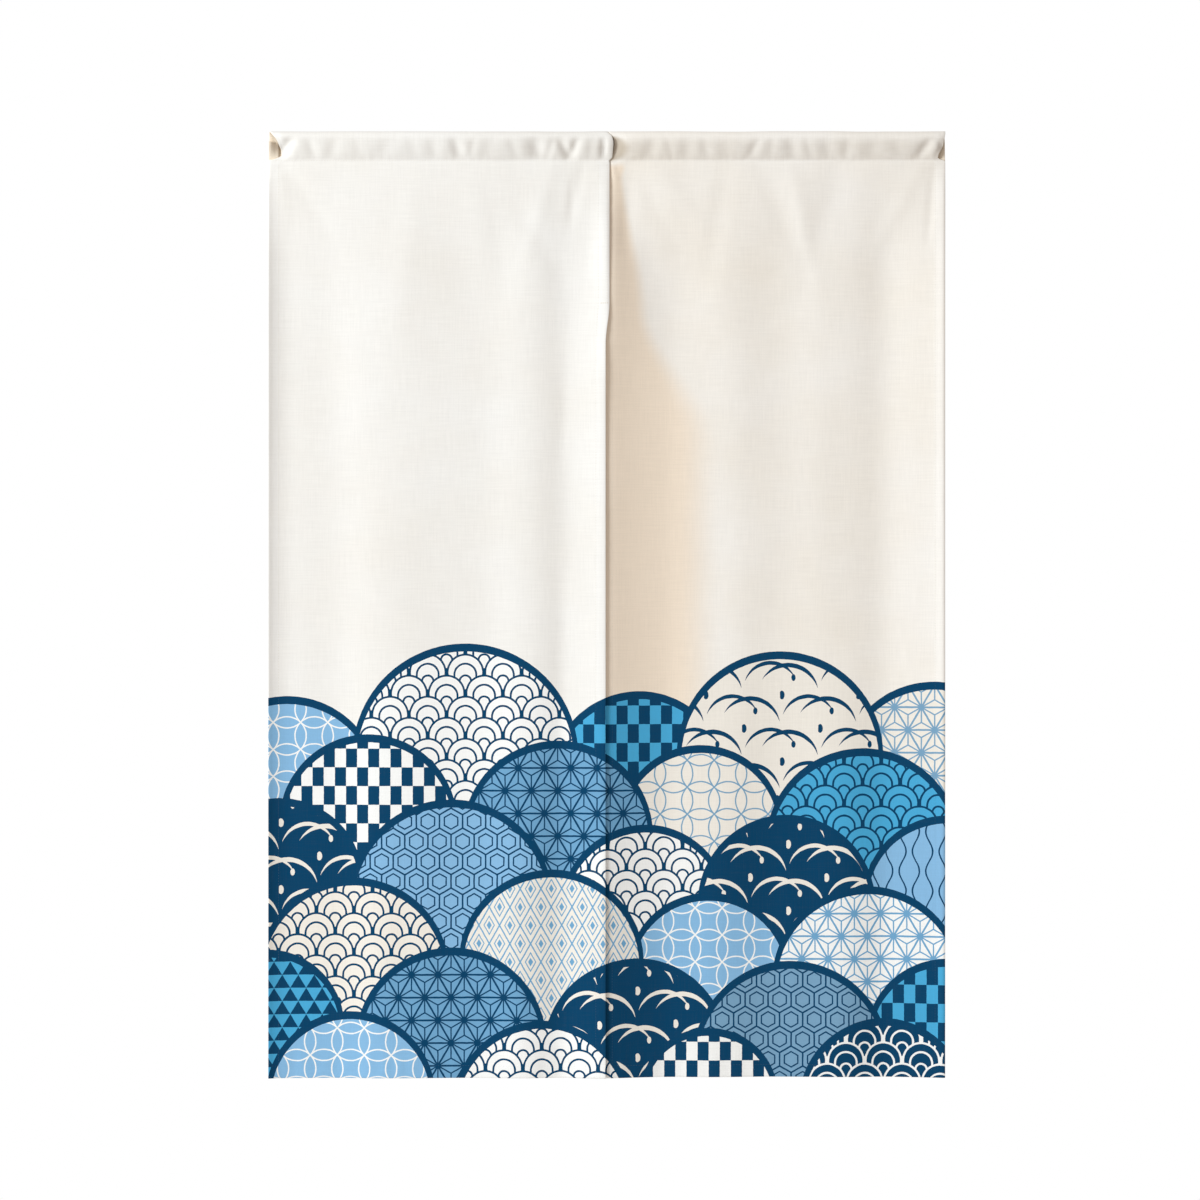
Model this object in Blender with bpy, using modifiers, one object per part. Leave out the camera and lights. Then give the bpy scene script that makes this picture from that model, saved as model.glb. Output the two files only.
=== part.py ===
"""A noren: a short split door curtain of printed linen, as it hangs from its rod.

Two lengths of cloth hang side by side. Each is turned over at the top into a
pocket that a rod slides through. The left length laps over the right one: they
are sewn together for a hand's width below the pockets, and open from there down.

Metres, +Z up. The front faces -Y, and the origin is the middle of the top edge.
"""

import collections
import math

import bmesh
import bpy

# Driving sizes
WIDTH = 0.850
DROP = 1.190
POCKET_DROP = 0.037
SEAM_END = 0.216
PANEL_CLOTH = 0.0015
POCKET_CLOTH = 0.0012
PIECE_GAP = 0.0003

# Where the two lengths meet
LAP_FRONT_SEWN = 0.0030
LAP_FRONT_OPEN = -0.0015
LAP_BEHIND = -0.0060
LAP_DEPTH = 0.0019
SLIT_STANDOFF = 0.0020
PARTING_DROP = 0.072

# The rod pocket's section: a drop shape round a rod that isn't here
POCKET_TOP_RADIUS = 0.0095
POCKET_FOOT_RADIUS = 0.0019
TOP_ARC_STEPS = 8
FOOT_ARC_STEPS = 3
WALL_STEPS = 4

# Steps of the meshes
PANEL_COLUMNS = 34
PANEL_ROWS = 24
POCKET_COLUMNS = 42
EDGE_CROWDING = 0.6
TOP_CROWDING = 1.35
MERGE_DISTANCE = 0.00003

# How the cloth comes forward to the slit, and falls away on each side of it
CREST_RISE = 0.0090
CREST_REACH_LEFT = 0.050
CREST_REACH_RIGHT = 0.085
CREST_POWER_LEFT = 1.7
CREST_POWER_RIGHT = 1.5
CREST_REACH_AT_TOP = 0.22
RIGHT_SETBACK = 0.0110

# Shares of the drop over which the folds settle below the stitched heading
SETTLE_SHARE = 0.14
SPREAD_SHARE = 0.20

# Soft folds down the cloth. Rises are towards the viewer, hollows are negative.
Fold = collections.namedtuple("Fold", "top_x hem_x top_rise hem_rise reach")
LEFT_FOLDS = (
    Fold(top_x=-0.350, hem_x=-0.338, top_rise=-0.0010, hem_rise=-0.0022, reach=0.055),
    Fold(top_x=-0.262, hem_x=-0.276, top_rise=0.0016, hem_rise=0.0030, reach=0.070),
    Fold(top_x=-0.165, hem_x=-0.172, top_rise=-0.0012, hem_rise=-0.0020, reach=0.060),
    Fold(top_x=-0.096, hem_x=-0.112, top_rise=0.0020, hem_rise=0.0026, reach=0.050),
    Fold(top_x=-0.056, hem_x=-0.060, top_rise=-0.0016, hem_rise=-0.0030, reach=0.030),
)
RIGHT_FOLDS = (
    Fold(top_x=0.142, hem_x=0.128, top_rise=0.0022, hem_rise=0.0034, reach=0.065),
    Fold(top_x=0.226, hem_x=0.214, top_rise=-0.0022, hem_rise=-0.0016, reach=0.060),
    Fold(top_x=0.292, hem_x=0.300, top_rise=0.0010, hem_rise=0.0030, reach=0.055),
    Fold(top_x=0.352, hem_x=0.346, top_rise=-0.0026, hem_rise=-0.0018, reach=0.045),
)

# The outer edges stand a little forward of the cloth beside them
EDGE_POWER = 1.5
LEFT_EDGE_RISE = 0.0055
LEFT_EDGE_REACH = 0.026
RIGHT_EDGE_RISE = 0.0095
RIGHT_EDGE_REACH = 0.080

# Dents in the pockets' front walls, where the empty cloth sinks in
DENT_FADE_POWER = 0.8
Dent = collections.namedtuple("Dent", "x depth reach lean")
LEFT_DENTS = (
    Dent(x=-0.4170, depth=0.0036, reach=0.012, lean=0.25),
    Dent(x=-0.3550, depth=0.0014, reach=0.015, lean=-0.20),
    Dent(x=-0.2780, depth=0.0010, reach=0.014, lean=0.15),
    Dent(x=-0.1910, depth=0.0018, reach=0.015, lean=-0.15),
    Dent(x=-0.1510, depth=0.0014, reach=0.014, lean=0.10),
    Dent(x=-0.0880, depth=0.0026, reach=0.015, lean=-0.20),
    Dent(x=-0.0480, depth=0.0028, reach=0.014, lean=-0.30),
    Dent(x=-0.0080, depth=0.0022, reach=0.011, lean=0.00),
)
RIGHT_DENTS = (
    Dent(x=0.0150, depth=0.0036, reach=0.013, lean=0.30),
    Dent(x=0.0900, depth=0.0018, reach=0.016, lean=0.10),
    Dent(x=0.1480, depth=0.0012, reach=0.015, lean=-0.15),
    Dent(x=0.2290, depth=0.0020, reach=0.014, lean=0.20),
    Dent(x=0.2700, depth=0.0018, reach=0.014, lean=-0.10),
    Dent(x=0.3300, depth=0.0014, reach=0.015, lean=0.15),
    Dent(x=0.3880, depth=0.0034, reach=0.014, lean=0.45),
    Dent(x=0.4180, depth=0.0026, reach=0.010, lean=-0.30),
)

LINEN = (0.890, 0.860, 0.800, 1.0)
LINEN_IN_SHADE = (0.850, 0.800, 0.730, 1.0)
LINEN_ROUGHNESS = 0.9


def clear_scene():
    """Remove every object that the file opened with."""
    for obj in list(bpy.data.objects):
        bpy.data.objects.remove(obj, do_unlink=True)


def smooth(share):
    """0 to 1 with level ends, for a share from 0 to 1."""
    share = min(max(share, 0.0), 1.0)
    return share * share * (3 - 2 * share)


def mix(first, last, share):
    return first + (last - first) * share


def bell(distance, reach):
    """1 at the middle, down to 0 at the reach, with a level crest."""
    if abs(distance) >= reach:
        return 0.0
    return 0.5 + 0.5 * math.cos(math.pi * distance / reach)


def crest(distance, reach, power):
    """1 at an edge, down to 0 at the reach, steepest at the edge."""
    return max(0.0, 1 - distance / reach) ** power


def soft_folds(folds, x, down):
    """The forward rise that a panel's folds add up to at one place."""
    rise = 0.0
    for fold in folds:
        middle = mix(fold.top_x, fold.hem_x, down)
        height = mix(fold.top_rise, fold.hem_rise, down)
        rise += height * bell(x - middle, fold.reach)
    return rise


def crest_reach(full_reach, down):
    """The crest at the slit is narrow where it leaves the heading, and spreads below."""
    return full_reach * mix(CREST_REACH_AT_TOP, 1.0, smooth(down / SPREAD_SHARE))


def seam_share(down):
    """0 where the two lengths are sewn together, and 1 where they hang free."""
    panel_drop = DROP - POCKET_DROP
    return smooth((down - (SEAM_END - POCKET_DROP) / panel_drop) * panel_drop / PARTING_DROP)


def left_forward(x, down):
    """How far the left length's front face stands towards the viewer."""
    settle = smooth(down / SETTLE_SHARE)
    from_slit = max(left_inner_edge(down) - x, 0.0)
    slit = CREST_RISE * crest(from_slit, crest_reach(CREST_REACH_LEFT, down), CREST_POWER_LEFT)
    edge = LEFT_EDGE_RISE * crest(x + WIDTH / 2, LEFT_EDGE_REACH, EDGE_POWER)
    return settle * (slit + edge + soft_folds(LEFT_FOLDS, x, down))


def right_forward(x, down):
    """The same for the right length, which lies behind the left one at the lap."""
    settle = smooth(down / SETTLE_SHARE)
    behind = LAP_DEPTH + SLIT_STANDOFF * seam_share(down)
    from_slit = x - left_inner_edge(down)
    if from_slit < 0:
        return left_forward(x, down) - behind
    setback = -RIGHT_SETBACK * settle
    at_slit = CREST_RISE * settle - behind
    slit = crest(from_slit, crest_reach(CREST_REACH_RIGHT, down), CREST_POWER_RIGHT)
    edge = RIGHT_EDGE_RISE * crest(WIDTH / 2 - x, RIGHT_EDGE_REACH, EDGE_POWER)
    return setback + (at_slit - setback) * slit + settle * (edge + soft_folds(RIGHT_FOLDS, x, down))


def left_inner_edge(down):
    """The left length's edge at the slit: over the seam above, and drawn back below."""
    return mix(LAP_FRONT_SEWN, LAP_FRONT_OPEN, seam_share(down))


def right_inner_edge(down):
    """The right length's edge, straight and hidden behind the left one."""
    return LAP_BEHIND


def new_material(name, colour):
    material = bpy.data.materials.new(name)
    material.use_nodes = True
    shader = material.node_tree.nodes["Principled BSDF"]
    shader.inputs["Base Color"].default_value = colour
    shader.inputs["Roughness"].default_value = LINEN_ROUGHNESS
    shader.inputs["Metallic"].default_value = 0.0
    return material


def add_grid(name, columns, rows, colour, collection):
    """A flat grid from 0 to 1 each way, to be bent into cloth."""
    bpy.ops.mesh.primitive_grid_add(x_subdivisions=columns, y_subdivisions=rows, size=1)
    obj = bpy.context.active_object
    obj.name = name
    obj.data.name = name
    obj.data.materials.append(new_material(name + "_linen", colour))
    for other in list(obj.users_collection):
        other.objects.unlink(obj)
    collection.objects.link(obj)
    for vertex in obj.data.vertices:
        vertex.co.x += 0.5
        vertex.co.y += 0.5
    return obj


def thicken(obj, thickness):
    """Give the bent grid its thickness, on the side away from its normals."""
    obj.data.shade_smooth()
    wall = obj.modifiers.new("cloth thickness", "SOLIDIFY")
    wall.thickness = thickness
    wall.offset = -1.0
    wall.use_even_offset = True


def crowd_to_edges(share):
    """Closer columns near both edges, where the cloth turns most."""
    return share - EDGE_CROWDING * math.sin(2 * math.pi * share) / (2 * math.pi)


def make_panel(name, outer_x, inner_edge, forward, colour, collection):
    """One hanging length, from the stitch line down to the hem."""
    obj = add_grid(name, PANEL_COLUMNS, PANEL_ROWS, colour, collection)
    top = -POCKET_DROP - PIECE_GAP
    for vertex in obj.data.vertices:
        down = (1 - vertex.co.y) ** TOP_CROWDING
        across = crowd_to_edges(vertex.co.x)
        left_x, right_x = sorted((outer_x, inner_edge(down)))
        x = mix(left_x, right_x, across)
        y = -forward(x, down) - PANEL_CLOTH / 2
        vertex.co = (x, y, mix(top, -DROP, down))
    thicken(obj, PANEL_CLOTH)
    return obj


def arc(centre_z, radius, first, last, steps):
    """Points (y, z) of an arc, with angles in radians from +Y towards +Z."""
    angles = [mix(first, last, step / steps) for step in range(steps + 1)]
    return [(radius * math.cos(a), centre_z + radius * math.sin(a)) for a in angles]


def pocket_outline():
    """The pocket's outer section from the back of its foot, over the top, to the front."""
    top_z = -POCKET_TOP_RADIUS
    foot_z = -POCKET_DROP + POCKET_FOOT_RADIUS
    slope = math.asin((POCKET_TOP_RADIUS - POCKET_FOOT_RADIUS) / (top_z - foot_z))
    over_top = arc(top_z, POCKET_TOP_RADIUS, -slope, math.pi + slope, TOP_ARC_STEPS)
    under_foot = arc(foot_z, POCKET_FOOT_RADIUS, math.pi + slope, 2 * math.pi - slope, FOOT_ARC_STEPS)
    outline = over_top + wall_between(over_top[-1], under_foot[0])
    outline += under_foot + wall_between(under_foot[-1], over_top[0])
    return outline


def wall_between(start, end):
    """The points of a straight wall between two ends, without the ends."""
    shares = [step / WALL_STEPS for step in range(1, WALL_STEPS)]
    return [(mix(start[0], end[0], s), mix(start[1], end[1], s)) for s in shares]


def dent_depth(dents, x, z):
    """How far the wall is sunk in at one place. It fades out at the foot and over the rod."""
    high = -POCKET_TOP_RADIUS
    share = min(max((high - z) / (high + POCKET_DROP - POCKET_FOOT_RADIUS), 0.0), 1.0)
    fade = math.sin(math.pi * share) ** DENT_FADE_POWER
    depth = 0.0
    for dent in dents:
        middle = dent.x + dent.lean * (z + POCKET_DROP / 2)
        depth += dent.depth * bell(x - middle, dent.reach)
    return depth * fade


def make_pocket(name, left_x, right_x, dents, colour, collection):
    """One rod pocket: a sleeve open at both ends, with dents in its front wall.

    The section stays the same over the last column at each end, so the ends are square.
    """
    outline = pocket_outline()
    column = (right_x - left_x) / POCKET_COLUMNS
    obj = add_grid(name, POCKET_COLUMNS, len(outline), colour, collection)
    for vertex in obj.data.vertices:
        x = mix(left_x, right_x, vertex.co.x)
        y, z = outline[round(vertex.co.y * len(outline)) % len(outline)]
        if y < 0:
            dented_x = min(max(x, left_x + column), right_x - column)
            y = min(y + dent_depth(dents, dented_x, z), -POCKET_CLOTH)
        vertex.co = (x, y, z)
    mesh = bmesh.new()
    mesh.from_mesh(obj.data)
    bmesh.ops.remove_doubles(mesh, verts=mesh.verts, dist=MERGE_DISTANCE)
    bmesh.ops.recalc_face_normals(mesh, faces=mesh.faces)
    mesh.to_mesh(obj.data)
    mesh.free()
    thicken(obj, POCKET_CLOTH)
    return obj


def make_noren():
    collection = bpy.data.collections.new("noren_curtain")
    bpy.context.scene.collection.children.link(collection)
    half = WIDTH / 2
    middle_gap = PIECE_GAP / 2
    make_panel("panel_left", -half, left_inner_edge, left_forward, LINEN, collection)
    make_panel("panel_right", half, right_inner_edge, right_forward, LINEN_IN_SHADE, collection)
    make_pocket("rod_pocket_left", -half, -middle_gap, LEFT_DENTS, LINEN, collection)
    make_pocket("rod_pocket_right", middle_gap, half, RIGHT_DENTS, LINEN_IN_SHADE, collection)


clear_scene()
make_noren()
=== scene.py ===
# %% [markdown]
# # A noren in printed linen
#
# A noren is a short door curtain of two lengths of cloth. They are sewn together
# for a hand's width at the top and hang apart below, so that people walk through.
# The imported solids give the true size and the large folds. This lesson lays a thin
# sheet of linen over them, sews it, prints it and lights it.

# %% Load the frame
import collections
import functools
import math

import bpy
import numpy as np
from mathutils import Matrix, Vector
from mathutils.bvhtree import BVHTree


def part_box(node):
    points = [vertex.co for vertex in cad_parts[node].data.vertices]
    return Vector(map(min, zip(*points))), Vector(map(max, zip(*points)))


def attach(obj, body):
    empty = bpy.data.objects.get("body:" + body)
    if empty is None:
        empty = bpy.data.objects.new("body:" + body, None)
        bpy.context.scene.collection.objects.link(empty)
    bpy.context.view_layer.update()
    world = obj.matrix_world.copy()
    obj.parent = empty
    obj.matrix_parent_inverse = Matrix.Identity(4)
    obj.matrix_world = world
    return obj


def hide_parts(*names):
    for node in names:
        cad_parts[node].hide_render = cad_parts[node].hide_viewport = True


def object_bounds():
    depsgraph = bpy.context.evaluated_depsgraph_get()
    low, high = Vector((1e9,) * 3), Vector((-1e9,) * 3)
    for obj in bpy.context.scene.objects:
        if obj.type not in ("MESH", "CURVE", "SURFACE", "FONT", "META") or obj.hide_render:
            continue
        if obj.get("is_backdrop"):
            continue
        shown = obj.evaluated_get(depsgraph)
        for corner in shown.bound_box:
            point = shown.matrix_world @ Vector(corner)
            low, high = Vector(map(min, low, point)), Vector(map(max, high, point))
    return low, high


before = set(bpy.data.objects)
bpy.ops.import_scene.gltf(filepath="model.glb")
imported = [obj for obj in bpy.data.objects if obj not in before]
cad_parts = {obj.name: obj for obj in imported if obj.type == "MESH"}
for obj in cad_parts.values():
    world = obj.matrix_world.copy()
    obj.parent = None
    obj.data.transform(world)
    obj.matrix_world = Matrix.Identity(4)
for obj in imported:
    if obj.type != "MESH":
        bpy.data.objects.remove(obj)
cad_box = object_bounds()
print("CAD box", [tuple(round(c, 4) for c in corner) for corner in cad_box])

# %% [markdown]
# ## The sizes that all the rest follows
#
# The panels' boxes give the width and the drop, and the pockets' boxes give the
# heading. A length of linen is about half a millimetre thick. Where it is folded
# back for a hem, the fold needs a small radius, or the two layers would cut through
# each other.

# %% Measure the frame
left_low, left_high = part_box("panel_left")
right_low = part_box("panel_right")[0]
pocket_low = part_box("rod_pocket_left")[0]
OUTER_LEFT = pocket_low.x
OUTER_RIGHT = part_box("rod_pocket_right")[1].x
FOOT = left_low.z
STITCH_LINE = left_high.z
POCKET_RADIUS = -pocket_low.y
SEAM_END = -0.216

CLOTH = 0.0005
TURN = 0.0006
TURN_AT_CORNER = 0.0013
SIDE_HEM = 0.015
FOOT_HEM = 0.018
POCKET_FLAP = 0.007
print(f"hung {OUTER_RIGHT - OUTER_LEFT:.3f} m wide, {-FOOT:.3f} m long")


# %% [markdown]
# ## The large folds
#
# Cloth hangs in soft folds from its heading, and stands forward at the slit. The CAD
# panels have those folds as flat facets. Rays shot at a panel from the front read
# how far each place stands forward. The readings are then blurred, a little across
# and more along the drop, which turns the facets back into cloth. At its ends the
# field is carried on with its own slope, so that a fold isn't flattened there.

# %% Read the folds off a panel
GRID_X = 0.0035
GRID_Z = 0.010
BLUR_X = 0.0065
BLUR_Z = 0.024


def carry_on(field, count):
    """The field with rows added at both ends, at the slope that it has there."""
    first = 2 * field[:1] - field[count:0:-1]
    last = 2 * field[-1:] - field[-2 : -count - 2 : -1]
    return np.concatenate([first, field, last])


def blurred(field, step, width):
    """The field with a bell-shaped blur along its first axis."""
    count = int(3 * width / step)
    weights = np.exp(-0.5 * (np.arange(-count, count + 1) * step / width) ** 2)
    longer = carry_on(field, count)
    rows = len(field)
    return sum(w * longer[k : k + rows] for k, w in enumerate(weights)) / weights.sum()


def fill_gaps(row):
    """A row in which the rays that missed take up the slope beside them."""
    known = np.flatnonzero(~np.isnan(row))
    first, last = known[0], known[-1]
    for k in range(last + 1, len(row)):
        row[k] = 2 * row[k - 1] - row[k - 2]
    for k in range(first - 1, -1, -1):
        row[k] = 2 * row[k + 1] - row[k + 2]
    return row


def read_folds(name):
    """(places across, places down, the face's y at each) for one CAD panel."""
    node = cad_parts[name]
    low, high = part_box(name)
    points = [vertex.co for vertex in node.data.vertices]
    faces = [tuple(face.vertices) for face in node.data.polygons]
    tree = BVHTree.FromPolygons(points, faces)
    across = np.arange(low.x + 0.0008, high.x - 0.0006, GRID_X)
    down = np.arange(low.z + 0.0006, high.z - 0.0004, GRID_Z)
    face_y = np.full((len(down), len(across)), np.nan)
    for j, z in enumerate(down):
        for i, x in enumerate(across):
            hit = tree.ray_cast(Vector((x, -1, z)), Vector((0, 1, 0)))[0]
            if hit is not None:
                face_y[j, i] = hit.y
        fill_gaps(face_y[j])
    face_y = blurred(face_y, GRID_Z, BLUR_Z)
    face_y = blurred(face_y.T, GRID_X, BLUR_X).T
    return across, down, face_y


folds = {name: read_folds(name) for name in ("panel_left", "panel_right")}
for name, (across, down, face_y) in folds.items():
    print(name, face_y.shape, f"y from {face_y.min():.4f} to {face_y.max():.4f}")


# %% [markdown]
# ## The small creases
#
# Between the large folds lie the marks of handling and of sewing: drag lines that
# run out of the corners, a soft hollow beside a hem, the ripple of a foot hem. Outer
# edges curl forward a little, the left one short and the right one wide. Each crease
# is one row of a table, from its upper end to its lower end. A positive rise is a
# ridge towards the viewer, and a negative one a trough.

# %% Tables of creases
def rows_of(kind, *rows):
    """A table, each row of which is of that kind."""
    return [kind(*row) for row in rows]


Crease = collections.namedtuple("Crease", "top_x top_z foot_x foot_z rise reach")
LEFT_CREASES = rows_of(
    Crease,
    (-0.412, -0.050, -0.400, -0.110, 0.0003, 0.007),
    (-0.404, -0.046, -0.345, -0.130, -0.0005, 0.010),
    (-0.395, -0.045, -0.300, -0.095, 0.0004, 0.009),
    (-0.031, -0.046, -0.047, -0.120, -0.0009, 0.008),
    (-0.044, -0.060, -0.046, -0.105, -0.0006, 0.005),
    (-0.068, -0.045, -0.104, -0.170, 0.0006, 0.012),
    (-0.150, -0.050, -0.128, -0.210, -0.0007, 0.018),
    (-0.158, -0.046, -0.150, -0.170, 0.0005, 0.026),
    (-0.112, -0.050, -0.116, -0.180, -0.0006, 0.026),
    (-0.004, -0.046, -0.004, -0.170, 0.0014, 0.016),
    (-0.115, -0.090, -0.052, -0.190, -0.0008, 0.014),
    (-0.240, -0.060, -0.262, -0.240, 0.0006, 0.020),
    (-0.330, -0.100, -0.310, -0.420, 0.0005, 0.024),
    (-0.052, -0.300, -0.058, -0.420, -0.0005, 0.010),
    (-0.056, -0.560, -0.060, -0.860, -0.0006, 0.012),
    (-0.060, -0.210, -0.060, -0.860, 0.0016, 0.032),
    (-0.185, -0.220, -0.185, -0.700, 0.0009, 0.040),
    (-0.360, -0.760, -0.345, -1.150, 0.0007, 0.024),
    (-0.250, -0.900, -0.262, -1.185, -0.0009, 0.020),
    (-0.120, -0.950, -0.104, -1.185, 0.0008, 0.018),
)
RIGHT_CREASES = rows_of(
    Crease,
    (0.006, -0.042, 0.012, -0.064, 0.0010, 0.004),
    (0.0246, -0.050, 0.0246, -0.150, -0.0020, 0.0137),
    (0.040, -0.050, 0.040, -0.140, -0.0010, 0.032),
    (0.034, -0.044, 0.090, -0.150, -0.0006, 0.012),
    (0.060, -0.046, 0.120, -0.120, 0.0006, 0.012),
    (0.150, -0.046, 0.128, -0.180, -0.0008, 0.014),
    (0.196, -0.050, 0.240, -0.150, -0.0010, 0.016),
    (0.232, -0.046, 0.262, -0.185, 0.0007, 0.012),
    (0.290, -0.050, 0.240, -0.220, -0.0008, 0.018),
    (0.395, -0.046, 0.330, -0.160, 0.0006, 0.012),
    (0.410, -0.048, 0.404, -0.140, -0.0009, 0.006),
    (0.240, -0.050, 0.244, -0.190, 0.0007, 0.028),
    (0.292, -0.050, 0.290, -0.200, -0.0009, 0.030),
    (0.104, -0.060, 0.112, -0.300, -0.0012, 0.040),
    (0.128, -0.260, 0.132, -0.860, -0.0024, 0.036),
    (0.210, -0.380, 0.190, -0.640, 0.0006, 0.028),
    (0.300, -0.230, 0.300, -0.760, -0.0024, 0.039),
    (0.120, -0.820, 0.104, -1.185, -0.0009, 0.022),
    (0.230, -0.900, 0.244, -1.185, 0.0009, 0.020),
    (0.350, -0.940, 0.338, -1.185, -0.0008, 0.018),
)
LEFT_CURL = (0.0011, 0.0032)
RIGHT_CURL = (0.0024, 0.0140)
RIGHT_EDGE_FALL = (0.0009, 0.0010)
CREASE_SPREAD = 0.62
CREASE_END = 0.12


def crease_rise(crease, x, z):
    """How far one crease lifts the cloth, at arrays of places. It fades at both ends."""
    start = np.array([crease.top_x, crease.top_z])
    run = np.array([crease.foot_x, crease.foot_z]) - start
    share = ((x - start[0]) * run[0] + (z - start[1]) * run[1]) / (run @ run)
    clamped = np.clip(share, 0.0, 1.0)
    gap = np.hypot(x - start[0] - clamped * run[0], z - start[1] - clamped * run[1])
    fade = np.sin(np.pi * (CREASE_END + (1 - 2 * CREASE_END) * clamped)) ** 0.8
    return crease.rise * fade * np.exp(-0.5 * (gap / (CREASE_SPREAD * crease.reach)) ** 2)


def drift(x, z, seed):
    """A slow, uneven rise and fall with no repeat that the eye finds, about 1 high."""
    total = np.zeros_like(x)
    for k in range(9):
        turn = 2.399 * k + seed
        pitch = 0.060 * 1.27**k
        wave = (x * math.cos(turn) + 0.55 * z * math.sin(turn)) / pitch
        total += np.sin(2 * np.pi * wave + 1.7 * k * k + seed) * (0.55 + 0.1 * k)
    return total / 5.0


print(len(LEFT_CREASES) + len(RIGHT_CREASES), "creases in the two tables")

# %% [markdown]
# ## The heading's section
#
# The top of each length is turned over to the back and stitched down, which leaves a
# sleeve for the rod. Nothing is in it here, so its front wall has sunk in between
# the places where it stands. The section is a line from the stitches up to the top
# arc, over it, down the back to the stitches again, and on into a short flap behind
# the panel.

# %% The section and its dents
Dent = collections.namedtuple("Dent", "x depth reach lean")
LEFT_DENTS = rows_of(
    Dent,
    (-0.4020, 0.0042, 0.010, 0.45),
    (-0.3720, 0.0014, 0.009, -0.30),
    (-0.3430, 0.0012, 0.011, 0.20),
    (-0.3130, 0.0005, 0.007, -0.20),
    (-0.2770, 0.0008, 0.014, 0.35),
    (-0.2440, 0.0006, 0.009, -0.20),
    (-0.2180, 0.0011, 0.010, -0.10),
    (-0.1890, 0.0024, 0.009, -0.30),
    (-0.1690, 0.0009, 0.006, 0.20),
    (-0.1480, 0.0008, 0.012, 0.20),
    (-0.1180, 0.0010, 0.008, -0.30),
    (-0.0890, 0.0034, 0.013, -0.20),
    (-0.0700, 0.0012, 0.006, 0.25),
    (-0.0550, 0.0032, 0.008, -0.45),
    (-0.0400, 0.0030, 0.007, 0.30),
    (-0.0045, 0.0034, 0.0042, 0.02),
    (-0.0200, 0.0008, 0.006, 0.10),
)
RIGHT_DENTS = rows_of(
    Dent,
    (0.0560, 0.0016, 0.012, 0.20),
    (0.0780, 0.0008, 0.007, -0.25),
    (0.1010, 0.0014, 0.012, 0.10),
    (0.1230, 0.0011, 0.009, -0.25),
    (0.1480, 0.0009, 0.012, -0.15),
    (0.1860, 0.0016, 0.008, 0.45),
    (0.2060, 0.0007, 0.007, 0.10),
    (0.2320, 0.0020, 0.011, -0.15),
    (0.2520, 0.0009, 0.007, -0.30),
    (0.2760, 0.0013, 0.011, -0.20),
    (0.3020, 0.0011, 0.009, 0.15),
    (0.3340, 0.0011, 0.013, 0.20),
    (0.3640, 0.0007, 0.010, -0.20),
    (0.4010, 0.0028, 0.010, 0.60),
    (0.4190, 0.0013, 0.005, -0.60),
)
FRONT_WALL_ROWS = 16
OVER_TOP_ROWS = 14
BACK_WALL_ROWS = 12
POCKET_BOW = 0.0012


def heading_section():
    """Points (y, z) of the sleeve's face, from the front stitches to the back ones."""
    centre_z = -POCKET_RADIUS
    slope = math.asin(POCKET_RADIUS / (centre_z - STITCH_LINE))

    def on_arc(angle):
        return POCKET_RADIUS * math.cos(angle), centre_z + POCKET_RADIUS * math.sin(angle)

    touch_y, touch_z = on_arc(math.pi + slope)

    def on_wall(share, side):
        """A point that far up a wall, which bows out a little. The front's side is 1."""
        bow = POCKET_BOW * math.sin(math.pi * share)
        return side * (touch_y * share - bow), STITCH_LINE + (touch_z - STITCH_LINE) * share

    front = [on_wall(k / FRONT_WALL_ROWS, 1) for k in range(FRONT_WALL_ROWS)]
    top = [on_arc(angle) for angle in np.linspace(math.pi + slope, -slope, OVER_TOP_ROWS + 1)]
    back = [on_wall(1 - k / BACK_WALL_ROWS, -1) for k in range(1, BACK_WALL_ROWS + 1)]
    return np.array(front + top + back)


section = heading_section()
print(f"section of {len(section)} points, {np.ptp(section[:, 0]):.4f} m from front to back")

# %% [markdown]
# ## Laying one length of cloth
#
# Each length is one rectangle of linen, cut wider and longer than it hangs. Its rows
# run from the raw edge of the foot hem, round the foot, up the face, over the
# heading and down to the flap. Its columns run from one side hem's raw edge to the
# other's. So a grid primitive is added with as many squares as the cloth has steps,
# and each of its points is laid where sewing and hanging put it.

# %% Rows up the cloth, columns across it
FRONT_STEP = 0.0070
FOLD_ROWS = 7
FOLD_CLOTH = 0.0008
ABOVE_FOLD = 0.0025
NEAR_STITCH = 0.0240
NEAR_STITCH_ROWS = 10
FACE_COLUMNS = 150
Rows = collections.namedtuple("Rows", "part z y in_y in_z share turn v")


def turned_back(distance, radius):
    """(outward, behind) of cloth that is folded back, at a distance past the fold's start."""
    angle = np.clip(distance / radius, 0, np.pi)
    past = np.maximum(distance - np.pi * radius, 0)
    return radius * np.sin(angle) - past, radius * (1 - np.cos(angle))


def steps_of_hem(radius, depth):
    """Distances past a fold's start: close together round the fold, then wider."""
    return np.concatenate(
        [np.linspace(0, np.pi * radius, 6)[1:], np.linspace(np.pi * radius, depth, 5)[1:]]
    )


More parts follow.
